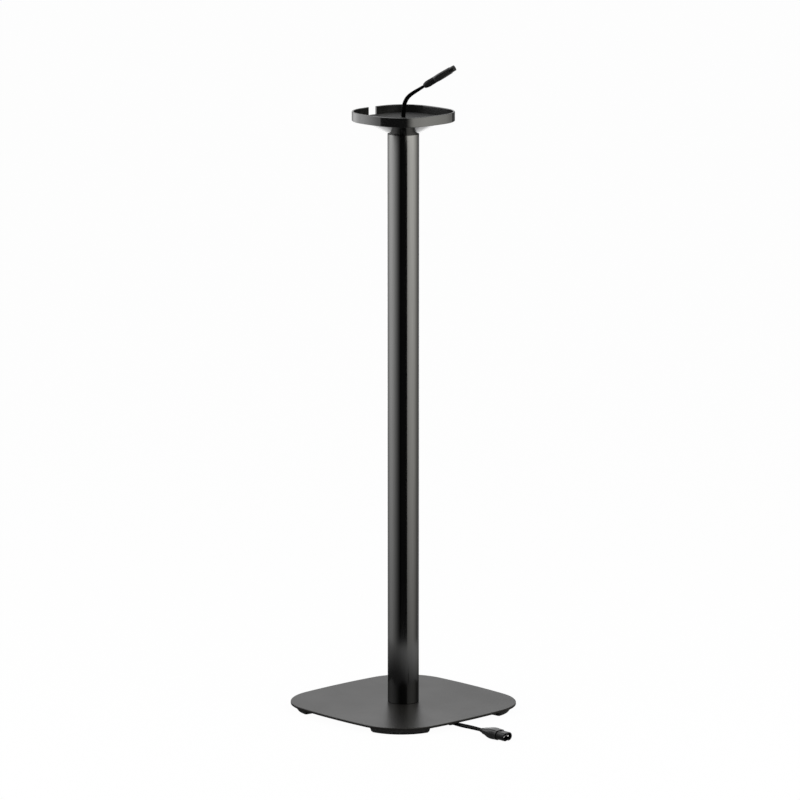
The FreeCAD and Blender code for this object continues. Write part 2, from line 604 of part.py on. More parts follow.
def foot_nuts():
    """Nuts on the studs, inside the feet."""
    level = f"{PLATE_UNDER} - Sizes.nut_web - Sizes.nut_thick"
    body = new_body("foot_nuts", level, DIAGONAL)
    spots = new_sketch(body, "spots")
    stud_spots(spots, nut_outline)
    nuts = pad(body, "pair", spots, "Sizes.nut_thick")
    around(body, "nuts", [nuts], len(CORNERS))
    return body


def nut_outline(sketch, across, along):
    """A hexagon with a bore."""
    corner = "Sizes.nut_flats / 2 / cos(30)"
    polygon(sketch, [(f"{across} + {corner} * cos({angle})", f"{along} + {corner} * sin({angle})")
                     for angle in range(0, 360, 60)])
    circle(sketch, "Sizes.stud_radius + Sizes.fit_gap / 2", across, along)


# ---------------------------------------------------------------- column

def column():
    """Extruded tube with screw ports along its inner wall."""
    body = new_body("column", PLATE_TOP, DIAGONAL)
    ring = new_sketch(body, "ring")
    circle(ring, "Sizes.column_radius")
    circle(ring, COLUMN_BORE)
    pad(body, "tube", ring, "Sizes.column_long")
    boss = new_sketch(body, "boss")
    circle(boss, "Sizes.port_boss", "Sizes.port_circle")
    port = pad(body, "port", boss, "Sizes.column_long")
    around(body, "ports", [port], "Sizes.port_count")
    bore = new_sketch(body, "bore")
    circle(bore, "Sizes.port_bore", "Sizes.port_circle")
    port_bore = pocket(body, "port_bore", bore)
    around(body, "port_bores", [port_bore], "Sizes.port_count")
    slit = new_sketch(body, "slit")
    box_outline(slit, "Sizes.port_circle - Sizes.port_boss - Sizes.slit_over", "0 - Sizes.port_slit / 2",
                "Sizes.port_circle - Sizes.port_bore / 2", "Sizes.port_slit / 2")
    port_slit = pocket(body, "port_slit", slit)
    around(body, "port_slits", [port_slit], "Sizes.port_count")
    outer = value("Sizes.column_radius")
    soften(body, "ends", "Chamfer", "Sizes.column_edge",
           lambda edge: is_round(edge, outer) and edge.BoundBox.ZLength < 1)
    return body


def key_socket(body, name, level, flats, depth, across, upward=False):
    """A hexagonal key socket in the head of a screw."""
    outline = new_sketch(body, name, level=level)
    hexagon(outline, flats, across)
    return pocket(body, f"{name}_cut", outline, depth, upward)


def screw_profile(body, corners, across, length):
    """Turn a screw's half section, given as (radius, height), about its own axis."""
    sketch = new_sketch(body, "half", "XZ_Plane")
    polygon(sketch, [(f"{across} + {radius}", height) for radius, height in corners])
    foot_end = Vector(value(across), 0, 0)
    axis = sketch.addGeometry(Part.LineSegment(foot_end, foot_end + Vector(0, value(length), 0)))
    sketch.toggleConstruction(axis)
    place(sketch, axis, 1, across, "0")
    place(sketch, axis, 2, across, length)
    return feature(body, "Revolution", "turned", Profile=sketch, Angle=360,
                   ReferenceAxis=(sketch, ["Axis0"]))


def column_base_screws():
    """Countersunk screws up through the plate into the column."""
    body = new_body("column_base_screws", PLATE_UNDER, DIAGONAL)
    sink = "Sizes.sunk_head - Sizes.screw_radius"
    reach = "Sizes.plate_thick + Sizes.screw_bite"
    turned = screw_profile(body, [
        ("0", "0"), ("Sizes.sunk_head - Sizes.fit_gap", "0"),
        ("Sizes.screw_radius", f"{sink} - Sizes.fit_gap"),
        ("Sizes.screw_radius", reach), ("0", f"{reach} + Sizes.screw_tip"),
    ], "Sizes.port_circle", reach)
    key = key_socket(body, "key", "0", "Sizes.key_flats", "Sizes.key_deep", "Sizes.port_circle", upward=True)
    around(body, "screws", [turned, key], "Sizes.port_count")
    return body


def column_top_screws():
    """Pan-headed screws down through the cone's web into the column."""
    web = "Sizes.shadow_gap + Sizes.cone_high - Sizes.recess_deep"
    body = new_body("column_top_screws", f"{COLUMN_TOP} + {web}", DIAGONAL)
    reach = f"0 - ({web}) - Sizes.screw_bite"
    turned = screw_profile(body, [
        ("0", "Sizes.pan_high"), ("Sizes.pan_head - Sizes.pan_crown", "Sizes.pan_high"),
        ("Sizes.pan_head", "Sizes.pan_high - Sizes.pan_crown"), ("Sizes.pan_head", "0"),
        ("Sizes.screw_radius", "0"), ("Sizes.screw_radius", reach), ("0", f"{reach} - Sizes.screw_tip"),
    ], "Sizes.port_circle", "Sizes.pan_high")
    key = key_socket(body, "key", "Sizes.pan_high", "Sizes.key_flats", "Sizes.key_deep", "Sizes.port_circle")
    around(body, "screws", [turned, key], "Sizes.port_count")
    return body


# ---------------------------------------------------------------- head

def support_cone():
    """Flared neck: a spigot in the column, a shadow step and a skirt under the tray."""
    body = new_body("support_cone", COLUMN_TOP, DIAGONAL)
    top = "Sizes.shadow_gap + Sizes.cone_high"
    half = new_sketch(body, "half", "XZ_Plane")
    polygon(half, [
        ("Sizes.spigot_bore", "0 - Sizes.spigot_long"), ("Sizes.spigot_radius", "0 - Sizes.spigot_long"),
        ("Sizes.spigot_radius", "0"), ("Sizes.column_radius - Sizes.shadow_step", "0"),
        ("Sizes.column_radius - Sizes.shadow_step", "Sizes.shadow_gap"),
        ("Sizes.column_radius", "Sizes.shadow_gap"), ("Sizes.cone_reach", f"{top} - Sizes.cone_lip"),
        ("Sizes.cone_reach", top), ("Sizes.recess_radius", top),
        ("Sizes.recess_radius", f"{top} - Sizes.recess_deep"),
        ("Sizes.spigot_bore", f"{top} - Sizes.recess_deep"),
    ])
    revolve(body, "turned", half)
    hole = new_sketch(body, "hole", level="Sizes.shadow_gap")
    circle(hole, "Sizes.screw_radius + Sizes.fit_gap", "Sizes.port_circle")
    screw_way = pocket(body, "screw_way", hole)
    around(body, "screw_ways", [screw_way], "Sizes.port_count")
    pilot = new_sketch(body, "pilot", level=top)
    circle(pilot, "Sizes.tray_screw_radius + Sizes.fit_gap / 2", "Sizes.tray_screw_circle")
    deep = "Sizes.tray_screw_long - Sizes.tray_floor + Sizes.pilot_spare"
    tray_hole = pocket(body, "tray_hole", pilot, deep)
    around(body, "tray_holes", [tray_hole], "Sizes.tray_screw_count")
    return body


def tray():
    """Shallow tray with a slotted rear rim."""
    body = new_body("tray", TRAY_UNDER)
    outline = new_sketch(body, "outline")
    bowed_square(outline, "Sizes.tray_reach", "Sizes.tray_corner", "Sizes.tray_bow")
    pad(body, "block", outline, "Sizes.tray_high")
    soften(body, "keel", "Fillet", "Sizes.keel_round", lambda edge: lies_at(edge, 0))
    well = new_sketch(body, "well", level="Sizes.tray_floor")
    bowed_square(well, "Sizes.tray_reach - Sizes.tray_wall", "Sizes.tray_corner - Sizes.tray_wall",
                 "Sizes.tray_bow - Sizes.tray_wall")
    pocket(body, "inside", well, "Sizes.tray_high", upward=True)
    soften(body, "rim", "Fillet", "Sizes.rim_round", lambda edge: lies_at(edge, value("Sizes.tray_high")))
    gap = new_sketch(body, "gap", level="Sizes.tray_floor")
    box_outline(gap, "0 - Sizes.slot_wide / 2", "Sizes.tray_reach - 2 * Sizes.tray_wall",
                "Sizes.slot_wide / 2", "Sizes.tray_reach + Sizes.tray_wall")
    pocket(body, "slot", gap, "Sizes.tray_high", upward=True)
    neck = new_sketch(body, "neck")
    circle(neck, "Sizes.bush_neck + Sizes.fit_gap")
    pocket(body, "grommet_hole", neck)
    hole = new_sketch(body, "hole")
    circle(hole, "Sizes.tray_screw_radius + Sizes.fit_gap", f"Sizes.tray_screw_circle * cos({DIAGONAL})",
           f"Sizes.tray_screw_circle * sin({DIAGONAL})")
    screw_way = pocket(body, "screw_way", hole)
    around(body, "screw_ways", [screw_way], "Sizes.tray_screw_count")
    bore = value("Sizes.tray_screw_radius + Sizes.fit_gap")
    floor = value("Sizes.tray_floor")
    soften(body, "countersinks", "Chamfer", "Sizes.tray_screw_head - Sizes.tray_screw_radius",
           lambda edge: lies_at(edge, floor) and is_round(edge, bore))
    return body


def tray_screws():
    """Countersunk screws that hold the tray on the cone."""
    body = new_body("tray_screws", TRAY_FLOOR, DIAGONAL)
    sink = "Sizes.tray_screw_head - Sizes.tray_screw_radius"
    turned = screw_profile(body, [
        ("0", "0"), ("Sizes.tray_screw_head - Sizes.fit_gap", "0"),
        ("Sizes.tray_screw_radius", f"0 - ({sink} - Sizes.fit_gap)"),
        ("Sizes.tray_screw_radius", "Sizes.tray_screw_tip - Sizes.tray_screw_long"),
        ("0", "0 - Sizes.tray_screw_long"),
    ], "Sizes.tray_screw_circle", "Sizes.tray_screw_long")
    key = key_socket(body, "key", "0", "Sizes.tray_key", "Sizes.tray_key_deep", "Sizes.tray_screw_circle")
    around(body, "screws", [turned, key], "Sizes.tray_screw_count")
    return body


def tray_pad():
    """Thin pad on the tray's floor."""
    body = new_body("tray_pad", TRAY_FLOOR)
    outline = new_sketch(body, "outline")
    inset = "Sizes.tray_wall + Sizes.mat_gap"
    bowed_square(outline, f"Sizes.tray_reach - ({inset})", f"Sizes.tray_corner - ({inset})",
                 f"Sizes.tray_bow - ({inset})")
    circle(outline, "Sizes.bush_flange + Sizes.fit_gap")
    pad(body, "sheet", outline, "Sizes.mat_thick")
    return body


def lead_slot(body):
    """The oval way for the lead through a bush."""
    way = new_sketch(body, "lead_way")
    oval(way, "Sizes.lead_wide + 2 * Sizes.lead_room", "Sizes.lead_thick + 2 * Sizes.lead_room")
    pocket(body, "lead_slot", way)


def tray_grommet():
    """Bush round the lead in the tray's floor."""
    body = new_body("tray_grommet", TRAY_UNDER)
    seat = "Sizes.tray_floor"
    flush = "Sizes.tray_floor + Sizes.mat_thick"
    half = new_sketch(body, "half", "XZ_Plane")
    polygon(half, [
        ("0", "0 - Sizes.bush_tail_thick"), ("Sizes.bush_tail", "0 - Sizes.bush_tail_thick"),
        ("Sizes.bush_tail", "0"), ("Sizes.bush_neck", "0"), ("Sizes.bush_neck", seat),
        ("Sizes.bush_flange", seat), ("Sizes.bush_flange", flush), ("Sizes.bush_collar", flush),
        ("Sizes.bush_collar", f"{flush} + Sizes.bush_stand - Sizes.bush_edge"),
        ("Sizes.bush_collar - Sizes.bush_edge", f"{flush} + Sizes.bush_stand"),
        ("0", f"{flush} + Sizes.bush_stand"),
    ])
    revolve(body, "turned", half)
    lead_slot(body)
    return body


def base_bushing():
    """Bush in the plate's centre hole, where the lead turns under the plate."""
    body = new_body("base_bushing", PLATE_UNDER)
    seat = "Sizes.plate_thick"
    top = "Sizes.plate_thick + Sizes.bushing_flange_thick"
    half = new_sketch(body, "half", "XZ_Plane")
    polygon(half, [
        ("Sizes.bushing_bore", "0 - Sizes.bushing_tail"), ("Sizes.bushing_barrel", "0 - Sizes.bushing_tail"),
        ("Sizes.bushing_barrel", seat), ("Sizes.bushing_flange", seat), ("Sizes.bushing_flange", top),
        ("Sizes.bushing_bore", top),
    ])
    revolve(body, "turned", half)
    return body


# ---------------------------------------------------------------- lead

def rounded_route(points, name):
    """Straight runs joined by tangent arcs through the route's points, and the least arc radius."""
    edges = []
    radii = []
    start = points[0]
    for before, here, after in zip(points, points[1:], points[2:]):
        back = (before - here)
        ahead = (after - here)
        half_turn = (math.pi - back.getAngle(ahead)) / 2
        reach = ARC_SHARE * min(back.Length, ahead.Length)
        radii.append(reach / math.tan(half_turn))
        first = here + back.normalize() * reach
        last = here + ahead.normalize() * reach
        inward = (back + ahead).normalize()
        sagitta = radii[-1] / math.cos(half_turn) - radii[-1]
        edges.append(Part.LineSegment(start, first).toShape())
        edges.append(Part.Arc(first, here + inward * sagitta, last).toShape())
        start = last
    edges.append(Part.LineSegment(start, points[-1]).toShape())
    print(f"{name}: arc radii {', '.join(f'{radius:.1f}' for radius in radii)} mm")
    return Part.Wire(edges)


def flex_section(start, heading, wide_way):
    """The flat flex's outline at a route's start, square to its heading."""
    shift = (value("Sizes.lead_wide") - value("Sizes.lead_thick")) / 2
    half = value("Sizes.lead_thick") / 2
    side = (wide_way - heading * wide_way.dot(heading)).normalize()
    up = heading.cross(side).normalize()
    corners = [start + side * (along * shift) + up * (across * half)
               for along, across in ((1, -1), (1, 1), (-1, 1), (-1, -1))]
    tips = [start + side * (along * (shift + half)) for along in (1, -1)]
    return Part.Wire([
        Part.Arc(corners[0], tips[0], corners[1]).toShape(),
        Part.LineSegment(corners[1], corners[2]).toShape(),
        Part.Arc(corners[2], tips[1], corners[3]).toShape(),
        Part.LineSegment(corners[3], corners[0]).toShape(),
    ])


def flex(name, path, wide_way):
    """Flat flex along a path, as a solid whose volume matches its section times its length."""
    first = path.Edges[0]
    heading = first.tangentAt(first.FirstParameter)
    section = flex_section(first.valueAt(first.FirstParameter), heading, wide_way)
    sweep = Part.BRepOffsetAPI.MakePipeShell(path)
    sweep.setFrenetMode(False)
    sweep.add(section)
    sweep.build()
    sweep.makeSolid()
    solid = sweep.shape()
    expected = Part.Face(section).Area * path.Length
    share = solid.Volume / expected
    print(f"{name}: length {path.Length:.1f} mm, volume {share:.4f} of section times length")
    piece = doc.addObject("Part::Feature", name)
    piece.Label = name
    piece.Shape = solid
    return piece


def compass(angle):
    """A level direction, as degrees anticlockwise from +X."""
    return Vector(math.cos(math.radians(angle)), math.sin(math.radians(angle)), 0)


def top_points():
    """The upper free stretch's points in the stand's frame."""
    along = compass(TOP_HEADING)
    exit_height = value(GROMMET_TOP)
    return [along * distance + Vector(0, 0, exit_height + height) for distance, height in TOP_ROUTE]


def under_end():
    """Where the captive stretch leaves the edge clip."""
    return compass(UNDER_HEADING) * value(LEAD_UNDER) + Vector(0, 0, value(LEAD_LEVEL))


def bottom_points():
    """The lower free stretch's points, from the edge clip to the socket."""
    return [under_end() + Vector(*step) for step in BOTTOM_ROUTE]


def column_lead():
    """The captive stretch: down the column, round the base bushing and along the plate's underside."""
    along = compass(UNDER_HEADING)
    bend = value("Sizes.lead_bend")
    top = Vector(0, 0, value(GROMMET_TOP))
    level = value(LEAD_LEVEL)
    bend_start = Vector(0, 0, level + bend)
    bend_end = along * bend + Vector(0, 0, level)
    bend_middle = along * bend * (1 - math.cos(math.radians(45))) + Vector(
        0, 0, level + bend * (1 - math.sin(math.radians(45))))
    path = Part.Wire([
        Part.LineSegment(top, bend_start).toShape(),
        Part.Arc(bend_start, bend_middle, bend_end).toShape(),
        Part.LineSegment(bend_end, under_end()).toShape(),
    ])
    across = along.cross(Vector(0, 0, 1))
    return flex("column_lead", path, across)


def top_lead():
    """The free stretch that stands up out of the tray."""
    across = compass(UNDER_HEADING).cross(Vector(0, 0, 1))
    return flex("top_lead", rounded_route(top_points(), "top_lead"), across)


def bottom_lead():
    """The free stretch from the edge clip to the inline socket."""
    across = compass(UNDER_HEADING).cross(Vector(0, 0, 1))
    return flex("bottom_lead", rounded_route(bottom_points(), "bottom_lead"), across)


def lead_clip(name, middle):
    """Stick-on saddle that holds the lead under the plate."""
    body = new_body(f"lead_clip_{name}", PLATE_UNDER, UNDER_HEADING)
    wall = "Sizes.clip_wall"
    half_room = "(Sizes.lead_wide / 2 + Sizes.lead_room)"
    deep = f"(Sizes.lead_drop + Sizes.lead_thick / 2 + Sizes.lead_room + {wall})"
    near = f"{middle} - Sizes.clip_long / 2"
    profile = new_sketch(body, "profile", "YZ_Plane", near)
    box_outline(profile, f"0 - {half_room} - {wall}", f"0 - {deep}", f"{half_room} + {wall}", "0")
    pad(body, "saddle", profile, "Sizes.clip_long")
    soften(body, "shoulders", "Fillet", wall,
           lambda edge: abs(edge.BoundBox.ZMax + value(deep)) < 1e-4 and edge.BoundBox.YLength < 1e-4)
    base = new_sketch(body, "base")
    box_outline(base, near, "0 - Sizes.clip_foot / 2", f"{near} + Sizes.clip_long", "Sizes.clip_foot / 2")
    foot_strip = feature(body, "Pad", "foot", Profile=base, Reversed=True)
    foot_strip.setExpression("Length", "Sizes.clip_foot_thick")
    tunnel = new_sketch(body, "tunnel", "YZ_Plane")
    low = "0 - Sizes.lead_drop - Sizes.lead_thick / 2 - Sizes.lead_room"
    high = "0 - Sizes.lead_drop + Sizes.lead_thick / 2 + Sizes.lead_room"
    box_outline(tunnel, f"0 - {half_room}", low, half_room, high)
    pocket(body, "lead_way", tunnel)
    return body


# ---------------------------------------------------------------- connectors

def connector_body(label, spot, outward, across):
    """A body whose local Z runs out along a connector and whose X runs across its poles."""
    body = doc.addObject("PartDesign::Body", label)
    body.Label = label
    body.Placement = Placement(spot, Rotation(across, outward.cross(across), outward, "ZXY"))
    return body


def end_frame(points):
    """Where a route ends, its outward direction and the level direction across it."""
    outward = (points[-1] - points[-2]).normalize()
    return points[-1], outward, outward.cross(Vector(0, 0, 1)).normalize()


def plug_part(label):
    """A body at the plug's start."""
    return connector_body(label, *end_frame(top_points()))


def socket_part(label):
    """A body at the socket's start."""
    return connector_body(label, *end_frame(bottom_points()))


def section(body, name, level, draw, *sizes):
    """A connector's cross section at a distance along it."""
    sketch = new_sketch(body, name, level=level)
    draw(sketch, *sizes)
    return sketch


def grip_sections(body, stations, begin, size):
    """Round-cornered sections at the stations of a moulded grip whose sizes start with `size`."""
    wide = f"Sizes.{size}_wide"
    thick = f"Sizes.{size}_thick"
    return [section(body, name, f"{begin} + Sizes.{size}_body_long * {along}", soft_box,
                    f"{wide} * {width}", f"{thick} * {height}", f"{thick} * {corner}")
            for name, along, width, height, corner in stations]


def plug_strain_relief():
    """Boot round the lead's end: a swelling collar and a few rings."""
    body = plug_part("plug_strain_relief")
    collar = "Sizes.plug_relief_long * Sizes.collar_share"
    wide = "Sizes.collar_wide"
    thick = "Sizes.collar_thick"
    loft(body, "collar", [
        section(body, name, f"{collar} * {along}", oval, f"{wide} * {width}", f"{thick} * {height}")
        for name, along, width, height in PLUG_COLLAR
    ])
    rings = "Sizes.plug_relief_long * (1 - Sizes.collar_share)"
    groove = "2 * Sizes.ring_groove"
    core = section(body, "core", collar, oval, f"{wide} - {groove}", f"{thick} - {groove}")
    pad(body, "neck", core, rings)
    pitch = f"{rings} / Sizes.ring_count"
    for index in range(int(value("Sizes.ring_count"))):
        start = f"{collar} + {pitch} * ({index + 1} - Sizes.ring_share)"
        pad(body, f"rib_{index}", section(body, f"ring_{index}", start, oval, wide, thick),
            f"{pitch} * Sizes.ring_share")
    return body


def plug_body():
    """Moulded grip with a sunk panel on each narrow side."""
    body = plug_part("plug_body")
    begin = "Sizes.plug_relief_long"
    long = "Sizes.plug_body_long"
    loft(body, "grip", grip_sections(body, PLUG_GRIP, begin, "plug"))
    panel = new_sketch(body, "panel", "YZ_Plane", "Sizes.plug_wide / 2 - Sizes.grip_deep")
    half = "Sizes.grip_high / 2"
    full = f"{begin} + {long} * {PANEL_FULL}"
    finish = f"{begin} + {long} * {PANEL_END}"
    polygon(panel, [("0", f"{begin} + {long} * {PANEL_START}"), (half, full), (half, finish),
                    (f"0 - {half}", finish), (f"0 - {half}", full)])
    sunk = pocket(body, "sunk", panel, "Sizes.plug_wide / 2", upward=True)
    mirrored(body, "sunk_pair", [sunk], "YZ_Plane")
    seat = section(body, "seat", f"{begin} + {long}", figure_eight, "Sizes.nose_lobe + Sizes.fit_gap",
                   "Sizes.nose_lobe_apart", "Sizes.nose_waist + 2 * Sizes.fit_gap")
    pocket(body, "nose_seat", seat, "Sizes.plug_tail_long + Sizes.fit_gap")
    return body


def plug_nose():
    """Hard two-hole insert that stands out of the grip."""
    body = plug_part("plug_nose")
    begin = "Sizes.plug_relief_long + Sizes.plug_body_long - Sizes.plug_tail_long"
    length = "Sizes.plug_tail_long + Sizes.plug_nose_long"
    outline = section(body, "outline", begin, figure_eight, "Sizes.nose_lobe", "Sizes.nose_lobe_apart",
                      "Sizes.nose_waist")
    pad(body, "block", outline, length)
    front = value(f"{begin} + {length}")
    soften(body, "front", "Fillet", "Sizes.nose_round", lambda edge: lies_at(edge, front))
    holes = new_sketch(body, "holes", level=f"{begin} + {length}")
    seats = new_sketch(body, "seats", level=f"{begin} + {length} - Sizes.sleeve_sunk")
    for sign in ("", "0 - "):
        circle(holes, "Sizes.sleeve_bore + Sizes.mouth_room", f"{sign}Sizes.pole_apart / 2")
        circle(seats, "Sizes.sleeve_radius + Sizes.fit_gap / 2", f"{sign}Sizes.pole_apart / 2")
    pocket(body, "mouths", holes, "Sizes.sleeve_sunk")
    pocket(body, "sleeve_seats", seats, "Sizes.sleeve_long")
    return body


def plug_contacts():
    """Two metal sleeves inside the nose."""
    body = plug_part("plug_contacts")
    begin = "Sizes.plug_relief_long + Sizes.plug_body_long + Sizes.plug_nose_long - Sizes.sleeve_sunk"
    rings = new_sketch(body, "rings", level=f"{begin} - Sizes.sleeve_long")
    for sign in ("", "0 - "):
        circle(rings, "Sizes.sleeve_radius", f"{sign}Sizes.pole_apart / 2")
        circle(rings, "Sizes.sleeve_bore", f"{sign}Sizes.pole_apart / 2")
    pad(body, "sleeves", rings, "Sizes.sleeve_long")
    return body


def socket_strain_relief():
    """Short neck collar where the lead enters the socket."""
    body = socket_part("socket_strain_relief")
    start = section(body, "start", "0", oval, "Sizes.neck_wide", "Sizes.neck_thick")
    end = section(body, "end", "Sizes.socket_relief_long", oval, "Sizes.neck_wide + Sizes.neck_flare",
                  "Sizes.neck_thick + Sizes.neck_flare")
    loft(body, "neck", [start, end], ruled=True)
    return body


def socket_body():
    """Bulged grip behind the shroud."""
    body = socket_part("socket_body")
    begin = "Sizes.socket_relief_long"
    long = "Sizes.socket_body_long"
    loft(body, "grip", grip_sections(body, SOCKET_GRIP, begin, "socket"))
    seat = section(body, "seat", f"{begin} + {long}", figure_eight, f"{SHROUD_CORE} + Sizes.fit_gap",
                   "Sizes.shroud_lobe_apart", f"{SHROUD_CORE_WAIST} + 2 * Sizes.fit_gap")
    pocket(body, "shroud_seat", seat, "Sizes.shroud_tail + Sizes.fit_gap")
    return body


def socket_shroud():
    """Hard shroud round the pins, with a grooved neck against the grip."""
    body = socket_part("socket_shroud")
    begin = "Sizes.socket_relief_long + Sizes.socket_body_long"
    shoulder = f"{begin} + Sizes.socket_step_long"
    mouth = f"{shoulder} + Sizes.socket_shroud_long"
    neck = section(body, "neck", f"{begin} - Sizes.shroud_tail", figure_eight, SHROUD_CORE,
                   "Sizes.shroud_lobe_apart", SHROUD_CORE_WAIST)
    pad(body, "step", neck, "Sizes.socket_step_long + Sizes.shroud_tail")
    outline = section(body, "outline", shoulder, figure_eight, "Sizes.shroud_lobe",
                      "Sizes.shroud_lobe_apart", "Sizes.shroud_waist")
    pad(body, "shell", outline, "Sizes.socket_shroud_long")
    front = value(mouth)
    soften(body, "front", "Fillet", "Sizes.shroud_round", lambda edge: lies_at(edge, front))
    well = section(body, "well", mouth, figure_eight, "Sizes.shroud_lobe - Sizes.shroud_wall",
                   "Sizes.shroud_lobe_apart", "Sizes.shroud_waist - 2 * Sizes.shroud_wall")
    pocket(body, "mouth", well, "Sizes.shroud_deep")
    seats = new_sketch(body, "seats", level=f"{mouth} - Sizes.shroud_deep")
    for sign in ("", "0 - "):
        circle(seats, "Sizes.pin_radius + Sizes.pin_seat_gap", f"{sign}Sizes.pole_apart / 2")
    pocket(body, "pin_seats", seats, "Sizes.pin_root")
    return body


def socket_pins():
    """Two round pins that stand up from the shroud's floor."""
    body = socket_part("socket_pins")
    begin = ("Sizes.socket_relief_long + Sizes.socket_body_long + Sizes.socket_step_long"
             " + Sizes.socket_shroud_long - Sizes.shroud_deep - Sizes.pin_root")
    length = f"Sizes.pin_root + {PIN_TIP}"
    spots = new_sketch(body, "spots", level=begin)
    for sign in ("", "0 - "):
        circle(spots, "Sizes.pin_radius", f"{sign}Sizes.pole_apart / 2")
    pad(body, "pins", spots, length)
    tip = value(f"{begin} + {length}")
    soften(body, "tips", "Fillet", "Sizes.pin_round", lambda edge: lies_at(edge, tip))
    return body


# ---------------------------------------------------------------- assembly

def build():
    """Every sub-part of the stand, from the floor up."""
    pieces = [base_plate()]
    for name, turn in CORNERS.items():
        pieces += [foot(name, turn), foot_pad(name, turn)]
    pieces += [foot_studs(), foot_nuts(), base_bushing(), column(), column_base_screws()]
    pieces += [support_cone(), column_top_screws(), tray(), tray_screws(), tray_pad(), tray_grommet()]
    pieces += [column_lead(), lead_clip("inner", "Sizes.clip_first"),
               lead_clip("edge", f"{LEAD_UNDER} - Sizes.clip_long / 2")]
    pieces += [top_lead(), plug_strain_relief(), plug_body(), plug_nose(), plug_contacts()]
    pieces += [bottom_lead(), socket_strain_relief(), socket_body(), socket_shroud(), socket_pins()]
    doc.recompute()
    return pieces


def check(pieces):
    """Stop on a failed feature or an empty or invalid shape."""
    for item in doc.Objects:
        if {"Invalid", "Error"} & set(item.State):
            raise RuntimeError(f"{item.Name} failed: {item.State}")
    for piece in pieces:
        if piece.Shape.isNull() or not piece.Shape.isValid():
            raise RuntimeError(f"{piece.Label} has no valid shape")


def export(pieces):
    """Write each sub-part to its own file."""
    os.makedirs("parts", exist_ok=True)
    for piece in pieces:
        piece.Shape.exportStep(f"parts/{piece.Label}.step")
        print(f"{piece.Label}: {len(piece.Shape.Solids)} solid(s), {piece.Shape.Volume:.0f} mm3")


stand = build()
check(stand)
export(stand)
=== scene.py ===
"""Studio scene of a floor stand for a compact loudspeaker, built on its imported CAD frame.

The rigid sub-parts keep their CAD shapes and get procedural finishes here.  The two free stretches
of the flat twin lead are drawn again as smooth grooved curves through the route's own points.
All lengths are in metres.
"""

import logging
import math
from dataclasses import dataclass, field
from enum import Enum

import bmesh
import bpy
from mathutils import Matrix, Vector


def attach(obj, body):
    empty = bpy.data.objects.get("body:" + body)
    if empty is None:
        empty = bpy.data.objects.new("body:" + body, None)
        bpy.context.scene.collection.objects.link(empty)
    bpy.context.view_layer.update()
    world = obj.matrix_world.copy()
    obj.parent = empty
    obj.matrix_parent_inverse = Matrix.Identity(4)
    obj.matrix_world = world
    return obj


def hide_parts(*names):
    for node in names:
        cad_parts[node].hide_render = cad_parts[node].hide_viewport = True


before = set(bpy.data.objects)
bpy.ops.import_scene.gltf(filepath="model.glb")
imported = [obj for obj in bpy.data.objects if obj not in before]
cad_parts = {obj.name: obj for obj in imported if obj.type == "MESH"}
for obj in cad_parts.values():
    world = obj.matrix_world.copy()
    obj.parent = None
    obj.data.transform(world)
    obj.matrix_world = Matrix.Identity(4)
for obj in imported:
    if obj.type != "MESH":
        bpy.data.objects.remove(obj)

BODY = "root"
LOG = logging.getLogger("speaker_stand")

FLECK_FROM, FLECK_TO = 0.35, 0.65  # noise values between which the base colour turns from dark to light
WEAR_FROM, WEAR_TO = 0.3, 0.7  # noise values between which the roughness swings
WEAR_SCALE = 14.0  # broad patches of wear per metre
WEAR_DETAIL = 4.0
BUMP_STRENGTH = 0.6


def toward(heading: float, reach: float, height: float) -> Vector:
    """A point at a heading and a distance from the column's axis.

    Args:
        heading: in degrees anticlockwise from +X.
        reach: distance from the axis, in metres.
        height: height above the floor, in metres.

    Returns:
        The point.
    """
    angle = math.radians(heading)
    return Vector((math.cos(angle) * reach, math.sin(angle) * reach, height))


# ---------------------------------------------------------------- finishes

class Grain(Enum):
    """How a finish's surface is textured: the noise's stretch along X, Y and Z, and its detail."""

    POWDER = ((1.0, 1.0, 1.0), 3.0)
    EXTRUDED = ((1.0, 1.0, 0.012), 2.0)
    MOULDED = ((1.0, 1.0, 1.0), 5.0)
    PLATED = ((1.0, 1.0, 0.2), 1.0)


